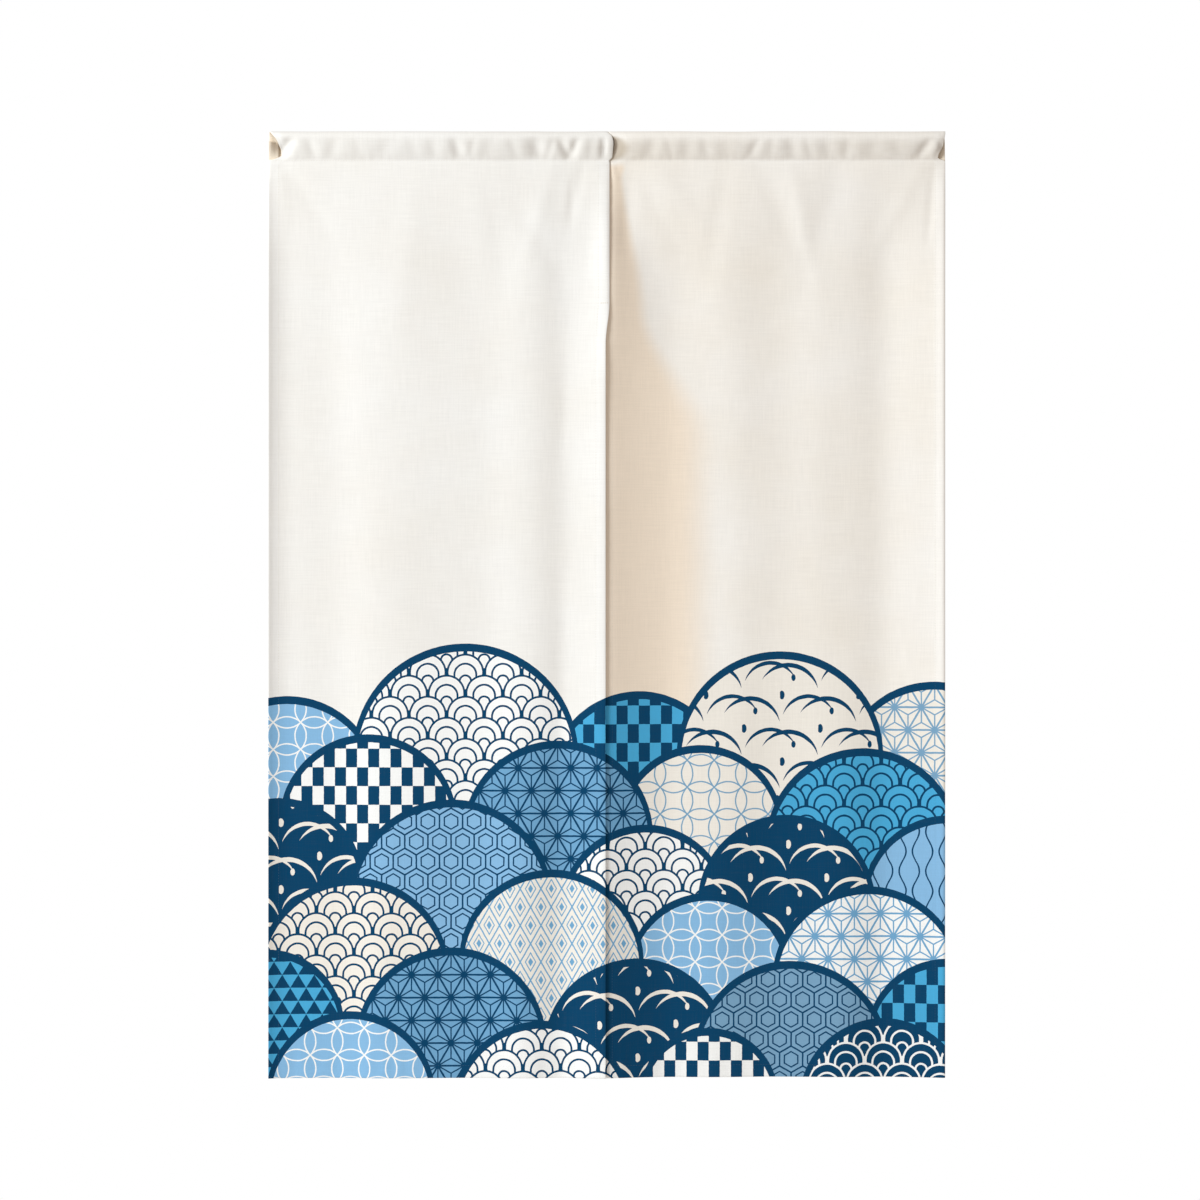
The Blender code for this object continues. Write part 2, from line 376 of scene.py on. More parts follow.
def rows_of_cloth():
    """Every row from the foot hem's raw edge to the flap's, as arrays."""
    rows = []
    for height in np.linspace(FOOT_HEM, ABOVE_FOLD, 5):
        rows.append(("hem", FOOT + height, 0.0, -1.0, 0.0, 0.0, math.pi, -height))
    for angle in np.linspace(math.pi, 0, FOLD_ROWS)[1:-1]:
        rows.append(("fold", FOOT, 0.0, 0.0, 0.0, 0.0, angle, -FOLD_CLOTH * angle / math.pi))
    low, high = FOOT + ABOVE_FOLD, STITCH_LINE - NEAR_STITCH
    for z in np.linspace(low, high, round((high - low) / FRONT_STEP)):
        rows.append(("face", z, 0.0, 1.0, 0.0, 0.0, 0.0, z - FOOT))
    for z in np.linspace(high, STITCH_LINE, NEAR_STITCH_ROWS + 1)[1:-1]:
        rows.append(("face", z, 0.0, 1.0, 0.0, 0.0, 0.0, z - FOOT))
    tangent = np.gradient(section, axis=0)
    tangent /= np.linalg.norm(tangent, axis=1)[:, None]
    length = np.concatenate([[0], np.cumsum(np.linalg.norm(np.diff(section, axis=0), axis=1))])
    for k, (y, z) in enumerate(section):
        share = (z - STITCH_LINE) / (section[:, 1].max() - STITCH_LINE)
        if k < FRONT_WALL_ROWS:
            part = "front"
        elif k < FRONT_WALL_ROWS + OVER_TOP_ROWS + 1:
            part = "top"
        else:
            part = "back"
        v = STITCH_LINE - FOOT + length[k]
        rows.append((part, z, y, tangent[k, 1], -tangent[k, 0], share, 0.0, v))
    for down in np.linspace(0, POCKET_FLAP, 4)[1:]:
        v = STITCH_LINE - FOOT + length[-1] + down
        rows.append(("flap", STITCH_LINE - down, 0.0, -1.0, 0.0, 0.0, 0.0, v))
    return Rows(*(np.array(column) for column in zip(*rows)))


rows = rows_of_cloth()
counts = {str(part): int((rows.part == part).sum()) for part in np.unique(rows.part)}
print(len(rows.z), "rows:", counts)

# %% [markdown]
# ## Where the edges of each length run
#
# The outer edges hang straight. At the slit the left length laps over the right one
# as far as the seam goes, and is drawn back below it. At the ends of the heading the
# front wall has been pulled in by use, so that one looks past it into the sleeve, and
# at the middle the left sleeve's end stands out over the right one's. A table gives
# such an end as pairs: how far up the sleeve, and how far from the outer edge or from
# the slit. What comes out are the offsets of each end from the edge at the foot.

# %% Edges, row by row
LAP_SEWN = left_high.x
LAP_OPEN = -0.0015
LAP_BEHIND = right_low.x
PARTING = 0.052
SLEEVE_GAP = 0.0003
SEAM_PRESS = (
    (-0.300, 0.0),
    (-0.216, 0.0024),
    (-0.150, 0.0027),
    (-0.100, 0.0020),
    (-0.070, 0.0008),
    (-0.050, 0.0),
)
SEAM_REACH = 0.0060
OUTER_END_LEFT = (
    (0.0, 0.0),
    (0.05, 0.0090),
    (0.12, 0.0165),
    (0.30, 0.0160),
    (0.60, 0.0120),
    (0.85, 0.0085),
    (1.0, 0.0045),
)
OUTER_END_RIGHT = ((0.0, 0.0005), (0.06, 0.0095), (0.20, 0.0085), (0.45, 0.0030), (1.0, 0.0005))
INNER_END_LEFT = ((0.0, 0.0030), (0.10, 0.0070), (0.50, 0.0085), (0.85, 0.0080), (1.0, 0.0015))
INNER_END_RIGHT = (
    (0.0, 0.0005),
    (0.10, 0.0056),
    (0.30, 0.0088),
    (0.55, 0.0093),
    (0.80, 0.0090),
    (0.92, 0.0068),
    (1.0, 0.0030),
)
OUTER_GIVE = 0.030
INNER_GIVE_LEFT = 0.022
INNER_GIVE_RIGHT = 0.040
OVER_TOP_HASTE = 1.3
STEP_ASIDE_FROM = -0.060
STEP_ASIDE_OVER = 0.014


def smooth(share):
    """0 below 0, 1 above 1, and a soft step between."""
    share = np.clip(share, 0.0, 1.0)
    return share * share * (3 - 2 * share)


def along(table, shares):
    """A table's value at each share, between its pairs."""
    places, values = zip(*table)
    return np.interp(shares, places, values)


def sleeve_end(table, at_back, panel):
    """One end's place on every row: on the panel, up the front wall, over, and behind."""
    place = np.where(rows.part == "front", along(table, rows.share), panel)
    over = smooth(np.cumsum(rows.part == "top") / (OVER_TOP_ROWS + 1) * OVER_TOP_HASTE)
    top_place = along(table, rows.share) * (1 - over) + at_back * over
    place = np.where(rows.part == "top", top_place, place)
    return np.where((rows.part == "back") | (rows.part == "flap"), at_back, place)


def lap_edge():
    """The left length's edge at the slit, on the panel."""
    return LAP_SEWN + (LAP_OPEN - LAP_SEWN) * smooth((SEAM_END - rows.z) / PARTING)


def hidden_edge():
    """The right length's edge behind the lap, which steps aside for the left sleeve."""
    aside = smooth((rows.z - STEP_ASIDE_FROM) / STEP_ASIDE_OVER)
    return LAP_BEHIND + (SLEEVE_GAP - LAP_BEHIND) * aside


edges_left = (
    sleeve_end(OUTER_END_LEFT, 0.0, 0.0),
    sleeve_end(INNER_END_LEFT, -SLEEVE_GAP, lap_edge()) - LAP_OPEN,
)
edges_right = (
    sleeve_end(INNER_END_RIGHT, SLEEVE_GAP, hidden_edge()) - LAP_BEHIND,
    -sleeve_end(OUTER_END_RIGHT, 0.0, 0.0),
)
print(f"the slit opens from {SEAM_END:.3f} m down")

# %% [markdown]
# ## What lifts the cloth
#
# A panel's large folds get its creases, a slow drift with no pattern, the grooves that
# the stitches draw into it, a little pucker along the hems, and the curl of the outer
# edges. Drift and curl settle to nothing at the heading, where the seam holds the
# cloth flat.

# %% The panel's face
STITCH_SINK = 0.00030
GROOVE_REACH = 0.0022
SIDE_GROOVE = 0.25
FOOT_GROOVE = 0.30
SIDE_STITCH_IN = 0.0125
FOOT_STITCH_UP = 0.0155
SETTLE_DROP = 0.045
DRIFT = 0.00045
HEM_PUCKER = 0.00016
HEM_PUCKER_REACH = 0.009
FOOT_PUCKER = 0.00022
FOOT_PUCKER_REACH = 0.012


def between(field, row, column):
    """The field's values at fractional rows and columns."""
    j = np.clip(row.astype(int), 0, field.shape[0] - 2)
    i = np.clip(column.astype(int), 0, field.shape[1] - 2)
    b, a = row - j, column - i
    if field.ndim > 2:
        b, a = b[..., None], a[..., None]
    low, high = (field[k, i] * (1 - a) + field[k, i + 1] * a for k in (j, j + 1))
    return low * (1 - b) + high * b


def look_up(fold_field, x, z):
    """The blurred field's y at arrays of places, between its readings."""
    across, down, face_y = fold_field
    column = np.clip((x - across[0]) / GRID_X, 0, len(across) - 1.001)
    row = np.clip((z - down[0]) / GRID_Z, 0, len(down) - 1.001)
    return between(face_y, row, column)


def seam_press(x, z):
    """How far the seam holds the left length's edge down on the right length."""
    return along(SEAM_PRESS, z) * np.exp(-np.maximum(LAP_SEWN - x, 0) / SEAM_REACH)


def near(gap, reach):
    """1 where the gap is 0, and less and less away from there."""
    return np.exp(-((gap / reach) ** 2))


def wavy(place, pitch, sway, sway_pitch, start=0.0):
    """A wave from -1 to 1 whose crests lie now closer, now farther apart."""
    return np.sin(2 * np.pi * (place / pitch + sway * np.sin(place / sway_pitch) + start))


def curl(gap, size_and_reach):
    """A rise at an outer edge, which falls off with the gap to it."""
    return size_and_reach[0] * np.exp(-np.maximum(gap, 0) / size_and_reach[1])


def panel_rise(x, z, creases, edge_in, seed):
    """All that lifts or sinks the panel's face beyond its large folds."""
    settle = smooth((STITCH_LINE - z) / SETTLE_DROP)
    rise = sum(crease_rise(crease, x, z) for crease in creases)
    rise += DRIFT * drift(x, z, seed) * settle
    from_side, from_foot = edge_in - SIDE_STITCH_IN, z - FOOT - FOOT_STITCH_UP
    groove = SIDE_GROOVE * near(from_side, GROOVE_REACH) + FOOT_GROOVE * near(from_foot, GROOVE_REACH)
    rise -= STITCH_SINK * (groove + near(z - STITCH_LINE, GROOVE_REACH))
    rise += settle * curl(x - OUTER_LEFT, LEFT_CURL)
    rise += settle * (curl(OUTER_RIGHT - x, RIGHT_CURL) - curl(OUTER_RIGHT - x, RIGHT_EDGE_FALL))
    rise += HEM_PUCKER * near(from_side, HEM_PUCKER_REACH) * wavy(z, 0.0170, 0.4, 0.031)
    rise += FOOT_PUCKER * near(from_foot, FOOT_PUCKER_REACH) * wavy(x, 0.0210, 0.5, 0.037)
    return rise


print(f"the outer edges curl forward {LEFT_CURL[0]:.4f} and {RIGHT_CURL[0]:.4f} m")

# %% [markdown]
# ## What sinks the sleeve
#
# With no rod in it, the sleeve's front wall falls in at its dents. Just above the
# stitches it is gathered finely, because two layers never feed through a machine
# alike. At the sleeve's ends both walls turn in towards each other.

# %% The sleeve's walls
DENT_SPREAD = 0.55
DENT_TOP = 0.80
GATHER = 0.00022
GATHER_PITCH = 0.0083
GATHER_UP = 0.16
TURN_IN_POWER = 1.3


def sleeve_sink(x, share, z, dents, seed):
    """How far the front wall of the sleeve has sunk in."""
    fade = np.sin(np.pi * np.clip(share / DENT_TOP, 0, 1)) ** 0.8
    sink = np.zeros_like(x)
    for dent in dents:
        middle = dent.x + dent.lean * (z - STITCH_LINE / 2)
        sink += dent.depth * np.exp(-0.5 * ((x - middle) / (DENT_SPREAD * dent.reach)) ** 2)
    wave = wavy(x, GATHER_PITCH, 0.8, 0.019, 0.3 * share + seed)
    gathered = GATHER * (1 + wave) * np.exp(-share / GATHER_UP) * smooth(share / 0.03)
    return sink * fade + gathered


def turn_in(x, edges, ends, share):
    """How far the walls of the sleeve turn towards each other at its two ends."""
    depth = sum(end.depth * near(x - edge, end.reach) for edge, end in zip(edges, ends))
    return depth * np.sin(np.pi * np.clip(share, 0, 1)) ** TURN_IN_POWER


End = collections.namedtuple("End", "depth reach")
LEFT_ENDS = {
    "front": (End(0.0030, 0.006), End(0.0012, 0.003)),
    "back": (End(0.0085, 0.008), End(0.0, 0.005)),
}
RIGHT_ENDS = {
    "front": (End(0.0046, 0.012), End(0.0030, 0.005)),
    "back": (End(0.0090, 0.010), End(0.0030, 0.006)),
}
print(len(LEFT_DENTS) + len(RIGHT_DENTS), "dents in the two sleeves")

# %% [markdown]
# ## Laying the points
#
# A point's place on the face comes first: across by its column, up by its row, and
# forward by the folds, creases and dents there. A side hem's columns go on from the
# fold and run back behind the face. At the foot and at the flap the whole cloth
# turns again, which needs a wider fold where a side hem is already inside it.

# %% Place every point of one length
fields = "folds edge_places gives nominal creases dents ends pressed seed"
Length = collections.namedtuple("Length", fields)
HEM_BLEND = 0.004
SAG = 0.0004


def lay_points(length):
    """(points, uv, doubled) of one length, each with a row for each row of the cloth."""
    edge_places, gives, seed = length.edge_places, length.gives, length.seed
    hem = steps_of_hem(TURN, SIDE_HEM)
    inside = np.linspace(0, 1, FACE_COLUMNS + 1)
    share = np.concatenate([np.zeros(len(hem)), inside, np.ones(len(hem))])
    past_left = np.concatenate([hem[::-1], np.zeros(len(inside) + len(hem))])
    past_right = np.concatenate([np.zeros(len(inside) + len(hem)), hem])
    left_edge, right_edge = length.nominal
    flat_x = left_edge + TURN + (right_edge - left_edge - 2 * TURN) * share
    out_left, behind_left = turned_back(past_left, TURN)
    out_right, behind_right = turned_back(past_right, TURN)
    x = flat_x - np.where(past_left > 0, out_left, 0) + np.where(past_right > 0, out_right, 0)
    behind = behind_left + behind_right

    from_left, from_right = flat_x - left_edge, right_edge - flat_x
    x = x[None, :] + edge_places[0][:, None] * np.exp(-from_left / gives[0])[None, :]
    x = x + edge_places[1][:, None] * np.exp(-from_right / gives[1])[None, :]
    z = np.broadcast_to(rows.z[:, None], x.shape)
    edges_x = [(edge + place)[:, None] for edge, place in zip(length.nominal, edge_places)]
    edge_in = np.minimum(x - edges_x[0], edges_x[1] - x)

    from_edge = np.minimum(from_left, from_right)
    in_hem = smooth((SIDE_HEM + HEM_BLEND - from_edge) / HEM_BLEND)[None, :]
    corner = TURN + (TURN_AT_CORNER - TURN) * in_hem
    off = np.broadcast_to(behind[None, :], x.shape)
    part = rows.part[:, None]

    panel_z = np.clip(z, FOOT + 0.0005, STITCH_LINE)
    face_y = look_up(length.folds, x, panel_z)
    face_y = face_y - panel_rise(x, panel_z, length.creases, edge_in, seed)
    if length.pressed:
        face_y = face_y + seam_press(x, panel_z)
    turn = rows.turn[:, None]
    y = face_y + off
    y = np.where(part == "fold", face_y + corner - (corner - off) * np.cos(turn), y)
    z = np.where(part == "fold", FOOT + corner - (corner - off) * np.sin(turn), z)
    y = np.where((part == "hem") | (part == "flap"), face_y + 2 * corner - off, y)

    at_stitches = look_up(length.folds, x, np.full_like(x, STITCH_LINE)) + STITCH_SINK
    share = rows.share[:, None]
    wall = (1 - share) ** 3
    front = np.isin(part, ("front", "top"))
    dented = sleeve_sink(x, share, z, length.dents, seed)
    dented = dented + turn_in(x, edges_x, length.ends["front"], share)
    sink = np.where(front, dented, turn_in(x, edges_x, length.ends["back"], share))
    sag = SAG * (1 + drift(x * 1.6, x * 0, seed + 2)) * share
    sleeve_y = rows.y[:, None] + rows.in_y[:, None] * (off + sink)
    sleeve_y = sleeve_y + wall * (at_stitches + np.where(part == "back", 2 * corner, 0))
    sleeve_z = z + rows.in_z[:, None] * (off + sink) - sag
    sleeve = np.isin(part, ("front", "top", "back"))
    y, z = np.where(sleeve, sleeve_y, y), np.where(sleeve, sleeve_z, z)

    u = flat_x - past_left + past_right
    uv = np.stack([np.broadcast_to(u, x.shape), np.broadcast_to(rows.v[:, None], x.shape)], -1)
    side = smooth((SIDE_HEM - from_edge) / 0.002)[None, :]
    foot = (smooth((FOOT + FOOT_HEM - rows.z) / 0.002) * (rows.z < FOOT + 0.1))[:, None]
    doubled = np.maximum(np.maximum(side, foot), 0.5 * sleeve)
    return np.stack([x, y, z], -1), uv, np.broadcast_to(doubled, x.shape)


left = Length(
    folds=folds["panel_left"],
    edge_places=edges_left,
    gives=(OUTER_GIVE, INNER_GIVE_LEFT),
    nominal=(OUTER_LEFT, LAP_OPEN),
    creases=LEFT_CREASES,
    dents=LEFT_DENTS,
    ends=LEFT_ENDS,
    pressed=True,
    seed=0.7,
)
right = Length(
    folds=folds["panel_right"],
    edge_places=edges_right,
    gives=(INNER_GIVE_RIGHT, OUTER_GIVE),
    nominal=(LAP_BEHIND, OUTER_RIGHT),
    creases=RIGHT_CREASES,
    dents=RIGHT_DENTS,
    ends=RIGHT_ENDS,
    pressed=False,
    seed=3.1,
)
laid_left, laid_right = lay_points(left), lay_points(right)
print("laid", laid_left[0].shape, laid_right[0].shape)

# %% [markdown]
# ## The sheets themselves
#
# The grid primitive's points come row by row, so the laid points can be handed to it
# in one go. Its UV map is the cloth's own flat measure in metres, which the printer
# and the weave both follow. Two more measures are kept at each point: where the cloth
# lies double, and which of the two lengths it is. Solidify gives the thickness on the
# wrong side, whose faces take the next material slot, because a print is pale on the
# back of the cloth. So the slots have to be there before it is applied.

# %% Make the two lengths
FINISH_COUNT = 4


def make_length(name, laid, second, replaced):
    """One sheet of linen on its laid points. second is 1 for the right length."""
    points, uv, doubled = laid
    up, across = points.shape[:2]
    bpy.ops.object.select_all(action="DESELECT")
    bpy.ops.mesh.primitive_grid_add(x_subdivisions=across - 1, y_subdivisions=up - 1, size=1)
    cloth = bpy.context.active_object
    cloth.name = cloth.data.name = name
    mesh = cloth.data
    mesh.vertices.foreach_set("co", points.reshape(-1))
    corners = np.empty(len(mesh.loops), np.int32)
    mesh.loops.foreach_get("vertex_index", corners)
    mesh.uv_layers[0].name = "cloth"
    mesh.uv_layers["cloth"].data.foreach_set("uv", uv.reshape(-1, 2)[corners].reshape(-1))
    for attribute, values in (("doubled", doubled), ("second", np.full(doubled.shape, second))):
        layer = mesh.attributes.new(attribute, "FLOAT", "POINT")
        layer.data.foreach_set("value", values.reshape(-1).astype(np.float32))
    mesh.update()
    bpy.ops.object.shade_smooth()
    for _ in range(FINISH_COUNT):
        mesh.materials.append(None)
    wall = cloth.modifiers.new("thickness", "SOLIDIFY")
    wall.thickness = CLOTH
    wall.offset = -1
    wall.material_offset = 1
    bpy.ops.object.modifier_apply(modifier=wall.name)
    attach(cloth, "root")
    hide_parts(*replaced)
    print(name, len(cloth.data.polygons), "faces")
    return cloth


cloth_left = make_length("cloth_left", laid_left, 0, ("panel_left", "rod_pocket_left"))
cloth_right = make_length("cloth_right", laid_right, 1, ("panel_right", "rod_pocket_right"))

# %% [markdown]
# ## The stitches
#
# The hems and the heading are sewn by machine with cream thread, about three stitches
# to the centimetre. One stitch is a short length of thread whose two ends go down into
# the cloth. It is shaped once, from a small sphere, and copied along each seam. Seams
# are given in the cloth's own flat measure, as on a sewing pattern, so that they
# follow every fold, and the back of a seam is the same line on the layer behind.

# %% Shape one stitch
STITCH_PITCH = 0.0034
STITCH_LENGTH = 0.0027
THREAD_THICK = 0.00042
SUNK_FROM = 0.30 * STITCH_LENGTH
SUNK_BY = 0.30 * THREAD_THICK

bpy.ops.object.select_all(action="DESELECT")
on_its_side = (0, math.pi / 2, 0)
bpy.ops.mesh.primitive_uv_sphere_add(segments=6, ring_count=5, radius=0.5, rotation=on_its_side)
stitch = bpy.context.active_object
stitch.name = "stitch"
stitch.data.uv_layers[0].name = "cloth"
bpy.ops.object.transform_apply(location=False, rotation=True, scale=False)
bpy.ops.object.mode_set(mode="EDIT")
bpy.ops.transform.resize(value=(STITCH_LENGTH, THREAD_THICK, THREAD_THICK))
bpy.ops.mesh.select_all(action="DESELECT")
bpy.ops.object.mode_set(mode="OBJECT")
for vertex in stitch.data.vertices:
    vertex.select = abs(vertex.co.x) > SUNK_FROM
bpy.ops.object.mode_set(mode="EDIT")
bpy.ops.transform.translate(value=(0, 0, -SUNK_BY))
bpy.ops.object.mode_set(mode="OBJECT")
bpy.ops.object.shade_smooth()
print("one stitch has", len(stitch.data.polygons), "faces")


# %% [markdown]
# A seam is a straight run on the flat cloth. Its stitches are set on the laid points
# between rows and columns, along the run and upright on the cloth. The cloth was
# printed after it was sewn, so each stitch also gets its place on the flat cloth, and
# takes the print's colour there.


# %% Where a run of stitches lies
def outward(points):
    """The direction that the cloth's face looks in, at every laid point."""
    across = np.gradient(points, axis=1)
    up = np.gradient(points, axis=0)
    normals = np.cross(across, up)
    return normals / np.linalg.norm(normals, axis=2)[..., None]


def on_cloth(laid, u, v):
    """(points, outward directions) at arrays of places on the flat cloth."""
    points, uv, _ = laid
    column = np.interp(u, uv[0, :, 0], np.arange(uv.shape[1]))
    row = np.interp(v, uv[:, 0, 1], np.arange(uv.shape[0]))
    return between(points, row, column), between(outward(points), row, column)


def run_of_stitches(laid, start, end, pitch=STITCH_PITCH):
    """(matrix, flat place, flat direction) of each stitch on a straight run of the cloth."""
    run = np.array(end) - np.array(start)
    length = float(np.hypot(*run))
    count = max(1, int(length / pitch))
    middle = (np.arange(count) + 0.5) / count
    ends = [middle - 0.5 * STITCH_LENGTH / length, middle + 0.5 * STITCH_LENGTH / length]
    places, faces = on_cloth(laid, *(start[k] + run[k] * middle for k in (0, 1)))
    first, last = (on_cloth(laid, *(start[k] + run[k] * end for k in (0, 1)))[0] for end in ends)
    stitches = []
    for number, (place, face, from_point, to_point) in enumerate(zip(places, faces, first, last)):
        up = Vector(face).normalized()
        along_run = Vector(to_point - from_point)
        along_run = (along_run - along_run.dot(up) * up).normalized()
        turn = Matrix((along_run, up.cross(along_run), up)).transposed()
        matrix = Matrix.Translation(Vector(place)) @ turn.to_4x4()
        stitches.append((matrix, np.array(start) + run * middle[number], run / length))
    return stitches


def sew(name, stitches):
    """Copy the stitch to every place, and join the copies into one piece."""
    corners = np.empty(len(stitch.data.loops), np.int32)
    stitch.data.loops.foreach_get("vertex_index", corners)
    shape = np.array([vertex.co[:2] for vertex in stitch.data.vertices])[corners]
    copies = []
    for matrix, place, run in stitches:
        copy = bpy.data.objects.new(name, stitch.data.copy())
        uv = place + shape[:, :1] * run + shape[:, 1:] * np.array([-run[1], run[0]])
        copy.data.uv_layers["cloth"].data.foreach_set("uv", uv.reshape(-1))
        copy.data.transform(matrix)
        bpy.context.scene.collection.objects.link(copy)
        copies.append(copy)
    bpy.ops.object.select_all(action="DESELECT")
    for copy in copies:
        copy.select_set(True)
    bpy.context.view_layer.objects.active = copies[0]
    bpy.ops.object.join()
    piece = bpy.context.active_object
    piece.name = piece.data.name = name
    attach(piece, "root")
    print(name, len(stitches), "stitches,", len(piece.data.polygons), "faces")
    return piece


# %% [markdown]
# Every length has a line below the heading, one along each side hem and one along the
# foot, each on the face and on the back. The left length also has the short seam that
# holds it to the right one, with a tack of close stitches across its end.

# %% Sew both lengths
HEADING_LINE = STITCH_LINE - FOOT
CLEAR = 0.004


def seams_of(laid, left_edge, right_edge):
    """All the stitches that one length's own hems and heading need."""
    back_line = float(laid[1][rows.part == "back", 0, 1].max())
    stitches = []
    for v in (HEADING_LINE, back_line):
        stitches += run_of_stitches(laid, (left_edge + CLEAR, v), (right_edge - CLEAR, v))
    for v in (FOOT_STITCH_UP, -FOOT_STITCH_UP):
        stitches += run_of_stitches(laid, (left_edge + CLEAR, v), (right_edge - CLEAR, v))
    behind = SIDE_STITCH_IN + (math.pi - 2) * TURN
    for edge, inward in ((left_edge, 1), (right_edge, -1)):
        for u in (edge + inward * SIDE_STITCH_IN, edge - inward * behind):
            stitches += run_of_stitches(laid, (u, CLEAR), (u, HEADING_LINE - CLEAR))
    return stitches


SEAM_IN = 0.0030
TACK_ROWS = 3
TACK_STEP = 0.0005
TACK_PITCH = 0.0021
TACK_FROM, TACK_TO = LAP_OPEN - 0.0100, LAP_OPEN - 0.0012
seam_u = LAP_OPEN - SEAM_IN
seam_foot = SEAM_END - FOOT
lap_seam = run_of_stitches(laid_left, (seam_u, seam_foot), (seam_u, HEADING_LINE - CLEAR))
for step in range(TACK_ROWS):
    v = seam_foot - TACK_STEP * step
    lap_seam += run_of_stitches(laid_left, (TACK_FROM, v), (TACK_TO, v), TACK_PITCH)
stitches_left = sew("stitches_left", seams_of(laid_left, OUTER_LEFT, LAP_OPEN) + lap_seam)
stitches_right = sew("stitches_right", seams_of(laid_right, LAP_BEHIND, OUTER_RIGHT))
bpy.data.objects.remove(stitch)
print("the lap's seam has", len(lap_seam), "stitches")

# %% [markdown]
# ## A short way to write shader arithmetic
#
# A printed pattern is a formula of where a point lies on the cloth. Built by hand
# from Math nodes, one formula takes dozens of lines. This small class stands for a
# number in a shader: adding or multiplying two of them adds the node, so that each
# pattern below reads as the formula that it is. Most of its methods differ only in
# the name of the operation, so a table gives them.


# %% Numbers that add their own nodes
class Term:
    """A number that a shader works out. Arithmetic on it adds Math nodes."""

    def __init__(self, tree, socket):
        self.tree = tree
        self.socket = socket

    def math(self, operation, *others):
        return add_node(self.tree, "Math", (self, *others), operation=operation)

    def wrapped(self, period):
        """The number brought to between minus and plus half a period."""
        return self.math("WRAP", period / 2, -period / 2)

    def choose(self, yes, no):
        """yes where this is 1, and no where it is 0."""
        return add_node(self.tree, "Mix", {"Factor": self, "A": no, "B": yes})


OPERATIONS = {
    "__add__": "ADD",
    "__sub__": "SUBTRACT",
    "__mul__": "MULTIPLY",
    "__truediv__": "DIVIDE",
    "below": "LESS_THAN",
    "above": "GREATER_THAN",
    "least": "MINIMUM",
    "most": "MAXIMUM",
    "size": "ABSOLUTE",
    "floor": "FLOOR",
    "fract": "FRACT",
}
for method, operation in OPERATIONS.items():
    setattr(Term, method, functools.partialmethod(Term.math, operation))
print("arithmetic:", ", ".join(OPERATIONS))

# %% [markdown]
# Some more helpers add the nodes that aren't arithmetic. A node's inputs can be given
# by place or by name. A Mix node has several sockets of one name, of which its
# settings leave one in use, so the helper looks for the socket that is enabled.


# %% Helpers that add nodes
def feed(tree, socket, value):
    """Link a term to a socket, or set the socket to a plain value."""
    if isinstance(value, Term):
        tree.links.new(value.socket, socket)
    else:
        socket.default_value = value


def add_node(tree, kind, inputs=(), output=0, **settings):
    """Add one shader node and return its output. Inputs go by place or by name."""
    node = tree.nodes.new("ShaderNode" + kind)
    for name, value in settings.items():
        setattr(node, name, value)
    named = inputs.items() if isinstance(inputs, dict) else enumerate(inputs)
    for key, value in named:
        feed(tree, open_socket(node, key), value)
    outputs = [socket for socket in node.outputs if socket.enabled]
    return Term(tree, outputs[output])


def open_socket(node, key):
    """The node's socket of that place or name, of those that its settings leave in use."""
    if isinstance(key, int):
        return node.inputs[key]
    return next(socket for socket in node.inputs if socket.name == key and socket.enabled)


def mixed(tree, share, first, second):
    """A colour between two others."""
    return add_node(tree, "Mix", {"Factor": share, "A": first, "B": second}, data_type="RGBA")


def distance(x, y):
    """How far a place is from the origin."""
    place = add_node(x.tree, "CombineXYZ", (x, y))
    node = x.tree.nodes.new("ShaderNodeVectorMath")
    node.operation = "LENGTH"
    x.tree.links.new(place.socket, node.inputs[0])
    return Term(x.tree, node.outputs["Value"])


def parts(vector):
    """The x and y of a vector, as two terms."""
    node = vector.tree.nodes.new("ShaderNodeSeparateXYZ")
    vector.tree.links.new(vector.socket, node.inputs[0])
    return Term(vector.tree, node.outputs[0]), Term(vector.tree, node.outputs[1])


def vector_math(operation, first, second):
    """One vector or colour worked out from two."""
    return add_node(first.tree, "VectorMath", (first, second), operation=operation)


def new_material(name):
    """(material, its node tree, its shader)"""
    material = bpy.data.materials.new(name)
    material.use_nodes = True
    return material, material.node_tree, material.node_tree.nodes["Principled BSDF"]


def noise(place, scale, detail, roughness=0.5, output=0):
    """Smooth noise at a place. Its first output is a number, its second a colour."""
    inputs = {"Vector": place, "Scale": scale, "Detail": detail, "Roughness": roughness}
    return add_node(place.tree, "TexNoise", inputs, output)


def ramp(tree, value, start, end, first, last):
    """A soft ramp from one value to another, between two places."""
    inputs = (value, start, end, first, last)
    return add_node(tree, "MapRange", inputs, interpolation_type="SMOOTHSTEP")


print("helpers for mixing, distances, vectors, noise and ramps are ready")

# %% [markdown]
# ## The dyes
#
# The print is in blues on undyed linen. Screens and photographs give colours as
# sRGB bytes, and a shader works in linear light, so each dye is turned from one to
# the other. The shades at the end are shares of the light that a place keeps, so they
# are in linear light already.


# %% Dyes and linen
def dye(red, green, blue):
    """A linear colour from sRGB bytes."""
    scaled = [byte / 255 for byte in (red, green, blue)]
    return (*(c / 12.92 if c < 0.04045 else ((c + 0.055) / 1.055) ** 2.4 for c in scaled), 1.0)


